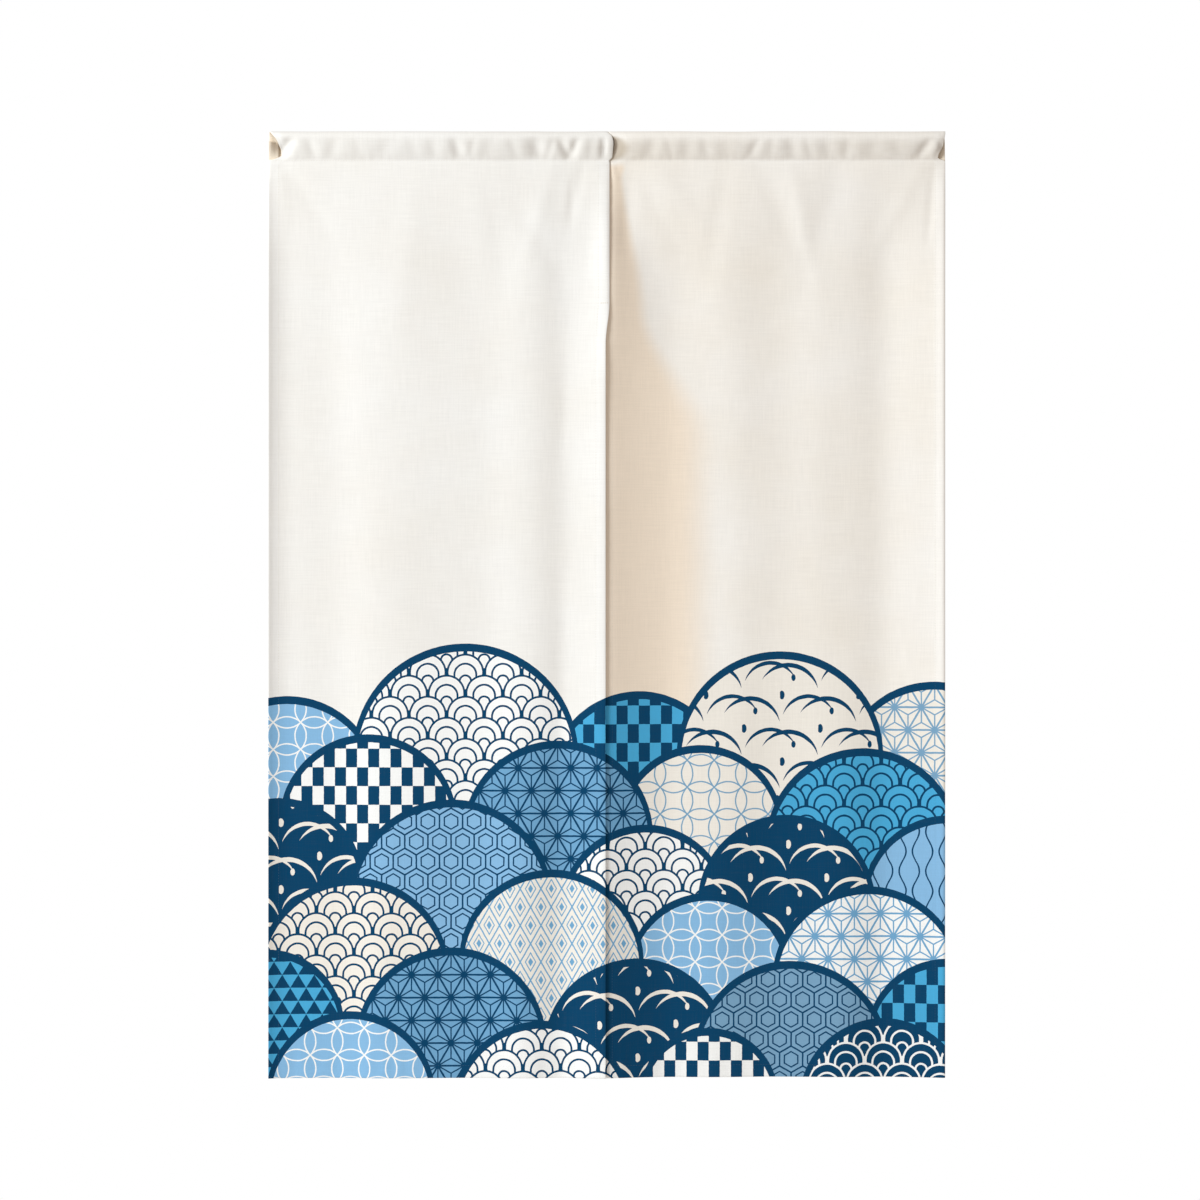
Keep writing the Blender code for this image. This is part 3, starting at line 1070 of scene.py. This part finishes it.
NAVY = dye(2, 66, 104)
DENIM = dye(116, 170, 210)
SKY = dye(140, 190, 230)
CYAN = dye(76, 174, 222)
MIST = dye(126, 168, 200)
CREAM = dye(246, 240, 231)
CHALK = dye(253, 253, 252)
LINEN = dye(249, 247, 244)
LINEN_WARM = dye(245, 241, 235)
# painted light and shade: the right length's colours are a touch brighter and warmer, for the
# window's falloff and the warm shade on it
SECOND_LENGTH = dye(252, 248, 243)
SECOND_LENGTH_WARM = dye(247, 240, 230)
# painted shade: the tan of the strip beside the slit on the right length
SLIT_SHADE_TAN = dye(247, 229, 208)
# painted warm shade inside the sleeve
SLEEVE_WARM_SHADE = dye(247, 231, 208)
HEADING_SHADE = (0.89, 0.875, 0.855, 1.0)
SLEEVE_END_SHADE = (0.69, 0.64, 0.575, 1.0)
WHITE = (1.0, 1.0, 1.0, 1.0)
print("navy in linear light", [round(c, 3) for c in NAVY[:3]])

# %% [markdown]
# ## Nine fillings
#
# The print is a range of round hills, one before the other, each filled with an old
# textile pattern: a draughtboard, sea waves, linked rings, hemp leaf, tortoise shell,
# scales, rising steam, diamonds and dewy grass. Most are drawn by ruler and compass, so
# each is a short formula of the place in metres from the hill's middle, and gives 1 on
# its lines and 0 on its ground.

# %% A draughtboard, waves and rings
LINE = 0.0017
BROAD_LINE = 0.0025


def draughtboard(x, y):
    """Upright oblongs, every other one filled."""
    cell = (x / 0.0140).floor() + (y / 0.0235).floor()
    return (cell / 2).fract().above(0.25)


def sea_waves(x, y):
    """Ringed scales in staggered rows, where each row lies before the one above it."""
    radius = 0.0236
    step = 1.12 * radius
    row = (y / step).floor()

    def scale_of(number):
        """(whether the place is on this row's scale, whether it is on a line of it)"""
        across = (x + (number / 2).fract() * (2 * radius)).wrapped(2 * radius)
        up = y - number * step
        reach = distance(across, up)
        lines = reach.above(radius - BROAD_LINE)
        for share, lowered in ((0.58, 0.12), (0.30, 0.46)):
            arch = distance(across, (up + lowered * radius).most(0))
            lines = lines.most((arch - share * radius).size().below(BROAD_LINE / 2))
        return reach.below(radius), lines

    nearer, nearer_lines = scale_of(row)
    farther, farther_lines = scale_of(row + 1)
    return nearer.choose(nearer_lines, farther.choose(farther_lines, 1.0))


def linked_rings(x, y):
    """Circles that each cross their four neighbours."""
    pitch = 0.0340
    radius = pitch / math.sqrt(2)
    a, b = x.wrapped(pitch).size(), y.wrapped(pitch).size()
    upright = (distance(a - pitch, b) - radius).size()
    level = (distance(a, b - pitch) - radius).size()
    return upright.least(level).below(LINE / 2)


print(f"lines {1000 * LINE:.1f} and {1000 * BROAD_LINE:.1f} mm wide")

# %% [markdown]
# Hemp leaf and tortoise shell both lie on a lattice of triangles. A place has three
# shares in its triangle, which tell how near it is to each side. The least share is
# small along an edge, and the other lines follow from the least and the most.


# %% Fillings on a lattice
def in_triangle(x, y, side):
    """The least and the most of a place's three shares in its triangle of a lattice."""
    up = y / (side * math.sqrt(3) / 2)
    level = (x / side - up / 2).fract()
    rise = up.fract()
    upper = (level + rise).above(1)
    a, b = (level - upper).size(), (rise - upper).size()
    c = (a + b) * -1 + 1
    return a.least(b).least(c), a.most(b).most(c)


def hemp_leaf(x, y):
    """A lattice of triangles, each with three spokes from its corners to its middle."""
    side = 0.0330
    least, most = in_triangle(x, y, side)
    edges = least.below(0.8 * LINE / side)
    spokes = ((least * -2 - most) + 1).below(LINE / side)
    return edges.most(spokes)


def tortoise_shell(x, y):
    """Hexagons, each with a smaller one inside."""
    least, most = in_triangle(x, y, 0.0290)
    inward = (most * 2 + least) - 1
    return inward.below(0.070).most((inward - 0.42).size().below(0.060))


def scales(x, y):
    """Rows of solid triangles."""
    up = y / 0.0165
    across = ((x / 0.0200 + up.floor() / 2).fract() - 0.5).size() * 2
    return up.fract().below(across * -1 + 1)


def steam(x, y):
    """Pairs of upright lines that draw together and part again."""
    pitch = 0.0330
    wave = (y * (2 * math.pi / 0.0500)).math("SINE") * 0.13 + 0.25
    return (x.wrapped(pitch).size() / pitch - wave).size().below(LINE * 0.60 / pitch)


def diamonds(x, y):
    """A lattice of tall diamonds, with a smaller one in each and a knot where they meet."""
    slant = x.wrapped(0.0260).size() / 0.0130 + y.wrapped(0.0460).size() / 0.0230
    from_line = (slant - 1).size()
    knots = (from_line * -1 + 1).below(0.24)
    return from_line.below(0.075).most((from_line - 0.50).size().below(0.055)).most(knots)


print("lattice, scale, steam and diamond fillings are ready")

# %% [markdown]
# Dewy grass is the one filling with a brush's swell. Each blade is a crescent: what
# one circle holds and a second, wider and lower, doesn't. How wide and how low follow
# from the swell and from where the blade should end. Two blades cross in each tuft,
# and beads of dew lie beside and below them.

# %% Dewy grass
BLADE_ENDS = math.radians(74)


def blade(x, y, radius, swell, lean):
    """A crescent over the origin, thickest at an angle of lean from straight up."""
    spare = radius * (1 - math.cos(BLADE_ENDS)) - swell
    lowered = (2 * radius * swell - swell**2) / (2 * spare)
    inner = distance(x + lowered * math.sin(lean), y + lowered * math.cos(lean))
    return distance(x, y).below(radius) * inner.above(radius + lowered - swell)


def bead(x, y, radius):
    """A drop of dew, taller than it is wide."""
    return distance(x, y * 0.62).below(radius)


def dewy_grass(x, y):
    """Staggered tufts of two blades, with two beads of dew at each."""
    wide, high = 0.0960, 0.0420
    row = (y / high).floor()
    across = (x + (row / 2).fract() * wide).wrapped(wide)
    up = y - (row + 0.5) * high
    grass = blade(across + 0.0120, up + 0.0200, 0.0330, 0.0050, -0.06)
    grass = grass.most(blade(across - 0.0110, up + 0.0265, 0.0370, 0.0058, 0.16))
    dew = bead(across + 0.0455, up - 0.0120, 0.0034)
    dew = dew.most(bead(across - 0.0170, up + 0.0080, 0.0027))
    return grass.most(dew)


FILLINGS = (
    draughtboard,
    sea_waves,
    linked_rings,
    hemp_leaf,
    tortoise_shell,
    scales,
    steam,
    diamonds,
    dewy_grass,
)
print(len(FILLINGS), "fillings")

# %% [markdown]
# ## The hills
#
# A printer lays one screen over another, and the hills are stacked in the same way:
# the far ones first, and each nearer one over what is there. A node group does this
# for one hill. It takes what the hills before it left (which filling, which dyes, how
# far from the middle, outline or not) and puts its own values in place wherever its
# circle reaches. The outline is thick over the crown and thin at the sides, because
# its inner circle sits a little low.

# %% One hill as a node group
STATE = (
    ("Place", "NodeSocketVector"),
    ("Ground", "NodeSocketColor"),
    ("Ink", "NodeSocketColor"),
    ("Filling", "NodeSocketFloat"),
    ("Outline", "NodeSocketFloat"),
)
OWN = (
    ("Cloth", "NodeSocketVector"),
    ("Middle", "NodeSocketVector"),
    ("Radius", "NodeSocketFloat"),
    ("Own ground", "NodeSocketColor"),
    ("Own ink", "NodeSocketColor"),
    ("Own filling", "NodeSocketFloat"),
)
OUTLINE = 0.0100
OUTLINE_LOWERED = 0.42 * OUTLINE


def new_group(name, inputs, outputs):
    """(group, its input terms by name, its output node)"""
    group = bpy.data.node_groups.new(name, "ShaderNodeTree")
    for socket_name, kind in inputs:
        group.interface.new_socket(socket_name, in_out="INPUT", socket_type=kind)
    for socket_name, kind in outputs:
        group.interface.new_socket(socket_name, in_out="OUTPUT", socket_type=kind)
    source = group.nodes.new("NodeGroupInput")
    given = {s.name: Term(group, s) for s in source.outputs if s.name}
    return group, given, group.nodes.new("NodeGroupOutput")


def make_hill_group():
    """A group that lays one hill over what the hills before it left."""
    group, given, result = new_group("hill", STATE + OWN, STATE)
    place = vector_math("SUBTRACT", given["Cloth"], given["Middle"])
    x, y = parts(place)
    reach = distance(x, y)
    within = reach.below(given["Radius"])
    rim = distance(x, y + OUTLINE_LOWERED).above(given["Radius"] - (OUTLINE - OUTLINE_LOWERED))
    new = {
        "Place": place,
        "Ground": given["Own ground"],
        "Ink": given["Own ink"],
        "Filling": given["Own filling"],
        "Outline": rim,
    }
    kinds = {"NodeSocketVector": "VECTOR", "NodeSocketColor": "RGBA", "NodeSocketFloat": "FLOAT"}
    for name, kind in STATE:
        choice = {"Factor": within, "A": given[name], "B": new[name]}
        chosen = add_node(group, "Mix", choice, data_type=kinds[kind])
        group.links.new(chosen.socket, result.inputs[name])
    return group


hill_group = make_hill_group()
print("nodes in one hill:", len(hill_group.nodes))

# %% [markdown]
# ## The layout
#
# Six staggered rows, from the far one down to the foot hem. Each hill is a row of
# the table: how far its middle is from the slit, how high its crown stands above the
# hem, its radius, its filling and its two dyes. The layout runs on across the slit,
# as the print does, because both lengths were printed side by side.

# %% The table of hills
Hill = collections.namedtuple("Hill", "across crown radius filling ground ink")
HILLS = rows_of(
    Hill,
    (-0.402, 0.480, 0.118, linked_rings, SKY, CHALK),
    (0.040, 0.486, 0.112, draughtboard, CYAN, NAVY),
    (-0.178, 0.546, 0.142, sea_waves, CHALK, NAVY),
    (0.412, 0.498, 0.118, hemp_leaf, CREAM, MIST),
    (0.218, 0.536, 0.130, dewy_grass, CREAM, NAVY),
    (-0.300, 0.432, 0.112, draughtboard, CHALK, NAVY),
    (0.118, 0.418, 0.104, linked_rings, CREAM, MIST),
    (-0.062, 0.424, 0.120, hemp_leaf, DENIM, NAVY),
    (0.322, 0.414, 0.122, sea_waves, CYAN, NAVY),
    (-0.412, 0.352, 0.106, dewy_grass, NAVY, CREAM),
    (0.048, 0.318, 0.106, sea_waves, CHALK, NAVY),
    (-0.196, 0.350, 0.128, tortoise_shell, SKY, NAVY),
    (0.430, 0.330, 0.108, steam, SKY, NAVY),
    (0.226, 0.330, 0.112, dewy_grass, NAVY, CREAM),
    (-0.318, 0.252, 0.120, sea_waves, CREAM, NAVY),
    (0.128, 0.232, 0.104, linked_rings, SKY, CHALK),
    (-0.070, 0.262, 0.116, diamonds, CREAM, DENIM),
    (0.328, 0.240, 0.120, hemp_leaf, CHALK, DENIM),
    (-0.428, 0.162, 0.098, scales, CYAN, NAVY),
    (-0.196, 0.164, 0.120, hemp_leaf, DENIM, NAVY),
    (0.430, 0.150, 0.104, draughtboard, CYAN, NAVY),
    (0.036, 0.150, 0.116, dewy_grass, NAVY, CREAM),
    (0.232, 0.146, 0.124, tortoise_shell, MIST, NAVY),
    (-0.322, 0.084, 0.106, linked_rings, SKY, CHALK),
    (0.128, 0.062, 0.088, draughtboard, CHALK, NAVY),
    (-0.082, 0.072, 0.112, sea_waves, CHALK, NAVY),
    (0.348, 0.074, 0.106, sea_waves, NAVY, CHALK),
)
print(len(HILLS), "hills in six rows")

# %% [markdown]
# The whole print is one more group: it chains the hills, then works out all nine
# fillings at the place that the last hill left, and keeps the one that is asked for.
# A fine noise moves each place a little first, so that no line is quite true, as ink
# spreads a little along the yarns.

# %% The print as a node group
INK_WOBBLE = 0.0007
WOBBLE_SCALE = 160.0


def make_print_group():
    """The whole print: the dye at each place on the cloth, and whether there is any."""
    outputs = (("Dye", "NodeSocketColor"), ("Printed", "NodeSocketFloat"))
    group, given, result = new_group("hill_print", (("Cloth", "NodeSocketVector"),), outputs)
    wobble = noise(given["Cloth"], WOBBLE_SCALE, 1.0, output=1)
    wobble = vector_math("SUBTRACT", wobble, (0.5, 0.5, 0.5))
    wobble = vector_math("MULTIPLY", wobble, (INK_WOBBLE, INK_WOBBLE, 0.0))
    cloth = vector_math("ADD", given["Cloth"], wobble)
    state = {"Ground": LINEN, "Filling": -1.0, "Outline": 0.0}
    for hill in HILLS:
        node = group.nodes.new("ShaderNodeGroup")
        node.node_tree = hill_group
        own = {
            "Cloth": cloth,
            "Middle": (hill.across, hill.crown - hill.radius, 0),
            "Radius": hill.radius,
            "Own ground": hill.ground,
            "Own ink": hill.ink,
            "Own filling": float(FILLINGS.index(hill.filling)),
        }
        for name, value in {**state, **own}.items():
            feed(group, node.inputs[name], value)
        state = {name: Term(group, node.outputs[name]) for name, _ in STATE}
    x, y = parts(state["Place"])
    lines = None
    for number, filling in enumerate(FILLINGS):
        drawn = filling(x, y) * state["Filling"].math("COMPARE", number, 0.5)
        lines = drawn if lines is None else lines.most(drawn)
    colour = mixed(group, lines, state["Ground"], state["Ink"])
    colour = mixed(group, state["Outline"], colour, NAVY)
    group.links.new(colour.socket, result.inputs["Dye"])
    group.links.new(state["Filling"].above(-0.5).socket, result.inputs["Printed"])
    return group


print_group = make_print_group()
print(len(print_group.nodes), "nodes in the print")

# %% [markdown]
# ## The linen
#
# Linen yarn is uneven: it has slubs, short thick stretches, in warp and weft alike,
# and they show as fine streaks both ways. Under them is the plain weave, three threads
# to two millimetres. Dye sits on the high threads first, so that the weave shows
# through the print.

# %% Yarn, weave and print
THREAD = 0.00062
SLUB_LONG = 26.0
SLUB_THIN = 620.0
WEAVE_HEIGHT = 0.00022


def streaks(cloth, along_u, along_v, seed):
    """Noise drawn out one way, for the slubs of the yarns that run that way."""
    stretched = vector_math("MULTIPLY", cloth, (along_u, along_v, 0.0))
    stretched = vector_math("ADD", stretched, (seed, seed * 0.7, 0.0))
    return noise(stretched, 1.0, 2.5, 0.6)


def woven(cloth):
    """(slubs, weave): both from 0 to 1, and high where the yarn stands up."""
    weft = streaks(cloth, SLUB_LONG, SLUB_THIN, 3.0)
    warp = streaks(cloth, SLUB_THIN, SLUB_LONG, 11.0)
    u, v = parts(cloth)
    over = (u * (math.pi / THREAD)).math("SINE") * (v * (math.pi / THREAD)).math("SINE")
    return weft * 0.5 + warp * 0.5, over * 0.5 + 0.5


def over_print(tree, cloth, colour, strength):
    """A colour with the print laid over it."""
    printer = tree.nodes.new("ShaderNodeGroup")
    printer.node_tree = print_group
    feed(tree, printer.inputs["Cloth"], cloth)
    share = Term(tree, printer.outputs["Printed"]) * strength
    return mixed(tree, share, colour, Term(tree, printer.outputs["Dye"]))


print(f"{1 / (1000 * THREAD):.1f} threads to the millimetre")

# %% [markdown]
# The empty sleeve's front is slack cloth with more cloth close behind it. It gets a
# blotchy painted shade, from just above the stitches to where it turns over the top,
# and more so on the right. By the slit the right sleeve's end gets a painted shadow
# of the left one, in a round patch that bulges to the right.

# %% The light on the heading
FRONT_SHADE_FADES_IN = (0.0, 0.0025)
FRONT_SHADE_FADES_OUT = (0.018, 0.032)
BLOTCHES = (34, 60)
PATCH_MIDDLE = 0.0150
PATCH_HALF_HEIGHT = 0.0175
PATCH_IN = 0.007
PATCH_BULGE = 0.021
PATCH_SOFT = 0.020


def heading_light(tree, u, v, second):
    """The painted shade on the heading's front: what share of the light it keeps, red, green and
    blue.
    """
    above = v - HEADING_LINE
    front = ramp(tree, above, *FRONT_SHADE_FADES_IN, 0.0, 1.0)
    front = front * ramp(tree, above, *FRONT_SHADE_FADES_OUT, 1.0, 0.0)
    place = add_node(tree, "CombineXYZ", (u * BLOTCHES[0], v * BLOTCHES[1]))
    blotch = noise(place, 1.0, 2.0) * 1.7 + 0.15
    strength = ramp(tree, u, -0.42, -0.02, 0.10, 0.60).most(second)
    lost = mixed(tree, front * strength * blotch, WHITE, HEADING_SHADE)
    bulge = ((above - PATCH_MIDDLE) / PATCH_HALF_HEIGHT).math("POWER", 2.0) * -1.0 + 1.0
    reach = bulge.most(0.0) * PATCH_BULGE + PATCH_IN
    # painted shadow of the left sleeve's end on the right sleeve's end
    end = ramp(tree, u, reach - PATCH_SOFT, reach, 1.0, 0.0) * bulge.above(0.0) * second
    return vector_math("MULTIPLY", lost, mixed(tree, end, WHITE, SLEEVE_END_SHADE))


print(f"the shade by the slit is {1000 * (PATCH_IN + PATCH_BULGE):.0f} mm wide at most")

# %% [markdown]
# The cloth's own colour is cloudy, as washed linen is. Where it lies double, in the
# hems and the heading, it is a little paler and less warm. The right length is painted
# a touch brighter and warmer than the left, which evens out the window's falloff and
# stands in for the warm shade on it. Beside the slit the right length has a painted
# warm shade, faint on its wrong side: that strip is narrow at the top and wide lower
# down. Inside the sleeve a painted warm shade stands for light that has gone through
# or off the linen more than once.

# %% The colour of the cloth
CLOUDS = 5.5
# where the painted shade beside the slit reaches, and how strong it is
NEAR_SEAM = (0.96, 1.15, 0.055, 0.022)
LOWER_DOWN = (0.80, 0.97, 0.090, 0.0)
SLIT_SHADE_ON_FACE = 0.85
SLIT_SHADE_ON_WRONG_SIDE = 0.25
SLEEVE_TINT = 0.8


def undyed(tree, cloth, second, wrong_side):
    """The linen's colour where there is no print, with its painted shades."""
    u, v = parts(cloth)
    doubled = add_node(tree, "Attribute", output=2, attribute_name="doubled")
    tone = noise(cloth, CLOUDS, 3.0, 0.55) * 2.2 - 0.65 - doubled * 0.35
    # painted light and shade: the right length is a touch brighter and warmer than the left
    pale = mixed(tree, second, LINEN, SECOND_LENGTH)
    warm = mixed(tree, second, LINEN_WARM, SECOND_LENGTH_WARM)
    # painted shade: a warm strip beside the slit on the right length, narrow at the top and wide
    # lower down, faint on the wrong side
    slit_shade_reach = ramp(tree, v, *NEAR_SEAM) + ramp(tree, v, *LOWER_DOWN)
    strength = SLIT_SHADE_ON_WRONG_SIDE if wrong_side else SLIT_SHADE_ON_FACE
    painted_slit_shade = ramp(tree, u / slit_shade_reach, 0.60, 1.0, strength, 0.0)
    painted_slit_shade = painted_slit_shade * ramp(tree, v, HEADING_LINE - 0.010, HEADING_LINE, 1.0, 0.0)
    return mixed(tree, painted_slit_shade * second, mixed(tree, tone, pale, warm), SLIT_SHADE_TAN)


def in_heading(tree, cloth, second, wrong_side, colour):
    """A colour with the heading's painted shades and the sleeve's painted warm shade."""
    u, v = parts(cloth)
    if wrong_side:
        # painted warm shade on the inside of the sleeve
        return mixed(tree, v.above(HEADING_LINE) * SLEEVE_TINT, colour, SLEEVE_WARM_SHADE)
    first_edge = second.choose(LAP_BEHIND, OUTER_LEFT)
    last_edge = second.choose(OUTER_RIGHT, LAP_OPEN)
    tucked = u.below(first_edge).most(u.above(last_edge)) * v.above(HEADING_LINE)
    colour = vector_math("MULTIPLY", colour, heading_light(tree, u, v, second))
    # painted warm shade where one looks into the sleeve's ends
    return mixed(tree, tucked * SLEEVE_TINT, colour, SLEEVE_WARM_SHADE)


print(f"handled to {1000 * (NEAR_SEAM[2] + LOWER_DOWN[2]):.0f} mm from the slit lower down")

# %% [markdown]
# Four finishes are made of this: face and wrong side, each with the print and bare.
# The bare ones save the renderer the work of the print, and carry what the heading
# adds. On the wrong side the ink shows at less than half its strength.

# %% The linen's finishes
PRINT_TOP = 0.56
WRONG_SIDE_INK = 0.42


def linen(name, ink_strength, wrong_side):
    """Linen, printed with ink of that strength, or bare where it is 0."""
    material, tree, shader = new_material(name)
    cloth = add_node(tree, "UVMap", uv_map="cloth")
    second = add_node(tree, "Attribute", output=2, attribute_name="second")
    slubs, weave = woven(cloth)
    colour = undyed(tree, cloth, second, wrong_side)
    if ink_strength:
        held = (slubs * 0.05 + weave * 0.02 + 0.965).least(1.0) * ink_strength
        colour = over_print(tree, cloth, colour, held)
    else:
        colour = in_heading(tree, cloth, second, wrong_side, colour)
    shade = slubs * 0.24 + weave * 0.03 + 0.865
    grey = add_node(tree, "CombineXYZ", (shade, shade, shade))
    feed(tree, shader.inputs["Base Color"], vector_math("MULTIPLY", colour, grey))
    feed(tree, shader.inputs["Roughness"], slubs * 0.08 + 0.88)
    height = slubs * 0.75 + weave * 0.25
    bump = add_node(tree, "Bump", {"Height": height, "Strength": 0.55, "Distance": WEAVE_HEIGHT})
    feed(tree, shader.inputs["Normal"], bump)
    shader.inputs["Specular IOR Level"].default_value = 0.06
    shader.inputs["Sheen Weight"].default_value = 0.03
    shader.inputs["Sheen Roughness"].default_value = 0.6
    return material


finishes = (
    linen("linen_face", 1.0, False),
    linen("linen_wrong_side", WRONG_SIDE_INK, True),
    linen("bare_linen_face", 0, False),
    linen("bare_linen_wrong_side", 0, True),
)


def dress(cloth):
    """Fill a length's slots, and give the faces above the print the bare finishes."""
    for slot, finish in enumerate(finishes):
        cloth.data.materials[slot] = finish
    for face in cloth.data.polygons:
        if face.center.z > FOOT + PRINT_TOP:
            face.material_index += 2
    slots = [face.material_index for face in cloth.data.polygons]
    for slot, finish in enumerate(finishes):
        print(cloth.name, finish.name, slots.count(slot), "faces")


dress(cloth_left)
dress(cloth_right)

# %% [markdown]
# Sewing thread is two plies of cotton twisted together. The twist shows as a fine
# slanting groove, with a painted shade as a slightly darker line in it. In the printed
# part the ink covers the thread as it covers the cloth.

# %% The thread's finish
PLY_PITCH = 0.00055
PLY_DEPTH = 0.00006
INK_ON_THREAD = 0.95


def thread_finish():
    """Cream thread with its twist, and with the print over it."""
    material, tree, shader = new_material("cream_thread")
    place = add_node(tree, "TexCoord", output=3)
    across, _ = parts(place)
    up = add_node(tree, "SeparateXYZ", (place,), output=2)
    ply = ((across + up * 0.8) * (2 * math.pi / PLY_PITCH)).math("SINE") * 0.5 + 0.5
    # painted shade: the thread is darker in the twist's groove
    colour = mixed(tree, ply, dye(226, 217, 202), dye(247, 242, 233))
    cloth = add_node(tree, "UVMap", uv_map="cloth")
    feed(tree, shader.inputs["Base Color"], over_print(tree, cloth, colour, INK_ON_THREAD))
    feed(tree, shader.inputs["Roughness"], ply * 0.15 + 0.60)
    bump = add_node(tree, "Bump", {"Height": ply, "Strength": 0.4, "Distance": PLY_DEPTH})
    feed(tree, shader.inputs["Normal"], bump)
    shader.inputs["Specular IOR Level"].default_value = 0.25
    return material


thread = thread_finish()
for piece in (stitches_left, stitches_right):
    piece.data.materials.clear()
    piece.data.materials.append(thread)
print("thread twist every", PLY_PITCH, "m")

# %% [markdown]
# ## How the sheets were cut
#
# Each length was cut from one width of linen: the hung width and two side hems, the
# drop and the cloth of the foot hem, the heading and its flap.

# %% [markdown]
# ## Camera, light and floor
#
# The photograph was taken from straight in front with a long lens. The light is a
# broad soft one from the left, far enough round that a fold's two sides differ, and
# the rest is an even pale studio.

# %% Camera
VIEW_WIDTH = 1.508
CAMERA_X = -0.0088
CAMERA_Z = -0.5893
LENS = 100
camera_data = bpy.data.cameras.new("camera")
camera_data.lens = LENS
camera = bpy.data.objects.new("camera", camera_data)
camera.location = (CAMERA_X, -VIEW_WIDTH * LENS / camera_data.sensor_width, CAMERA_Z)
camera.rotation_euler = (math.pi / 2, 0, 0)
bpy.context.scene.collection.objects.link(camera)
bpy.context.scene.camera = camera
print("camera", [round(c, 3) for c in camera.location])

# %% [markdown]
# The world is white where the camera sees it, as the photo's ground is, and a warm,
# dimmer grey for the light that it sheds. So the shaded side of a fold is warm, and
# the window's light, a little blue, brings the lit side back to neutral.

# %% Light
AMBIENT = (0.410, 0.372, 0.338, 1.0)
WINDOW_PLACE = Vector((-4.65, -3.15, 1.63))
WINDOW_AIM = Vector((0, 0, -0.55))
WINDOW_SIZE = 1.8
WINDOW_POWER = 333
WINDOW_COLOUR = (0.90, 0.965, 1.0)

scene = bpy.context.scene
scene.view_settings.view_transform = "Standard"
world = bpy.data.worlds.new("studio")
scene.world = world
world.use_nodes = True
sky = world.node_tree
seen = add_node(sky, "LightPath")
feed(sky, sky.nodes["Background"].inputs["Color"], mixed(sky, seen, AMBIENT, WHITE))
panes = bpy.data.lights.new("window", "AREA")
panes.size = WINDOW_SIZE
panes.energy = WINDOW_POWER
panes.color = WINDOW_COLOUR
window = bpy.data.objects.new("window", panes)
window.location = WINDOW_PLACE
window.rotation_mode = "QUATERNION"
window.rotation_quaternion = (WINDOW_AIM - WINDOW_PLACE).to_track_quat("-Z", "Y")
window.visible_camera = False
scene.collection.objects.link(window)
print("window light of", WINDOW_POWER, "W from the left")

# %% [markdown]
# The floor is a plain painted disc, well below the curtain's foot and the picture. It
# shows only in other views.

# %% Floor
FLOOR_MIDDLE = (0, 0, -1.95)
FLOOR_GREY = dye(244, 243, 241)
FLOOR_PALE = dye(250, 249, 248)

bpy.ops.object.select_all(action="DESELECT")
bpy.ops.mesh.primitive_circle_add(vertices=96, radius=3.0, fill_type="NGON", location=FLOOR_MIDDLE)
floor = bpy.context.active_object
floor.name = "floor"
floor_paint, paint, paint_shader = new_material("floor_paint")
spots = add_node(paint, "TexNoise", {"Scale": 3.0, "Detail": 3.0})
feed(paint, paint_shader.inputs["Base Color"], mixed(paint, spots, FLOOR_GREY, FLOOR_PALE))
paint_shader.inputs["Roughness"].default_value = 0.9
floor.data.materials.append(floor_paint)
floor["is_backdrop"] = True
print(f"floor {FOOT - FLOOR_MIDDLE[2]:.2f} m below the curtain")

# %% [markdown]
# ## Print the sizes and finish
#
# Both boxes are printed, so that the dressed curtain can be compared with its solids.

# %% Finish
dressed_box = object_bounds()
for low, high in (cad_box, dressed_box):
    print("box", [round(c, 4) for c in low], [round(c, 4) for c in high])
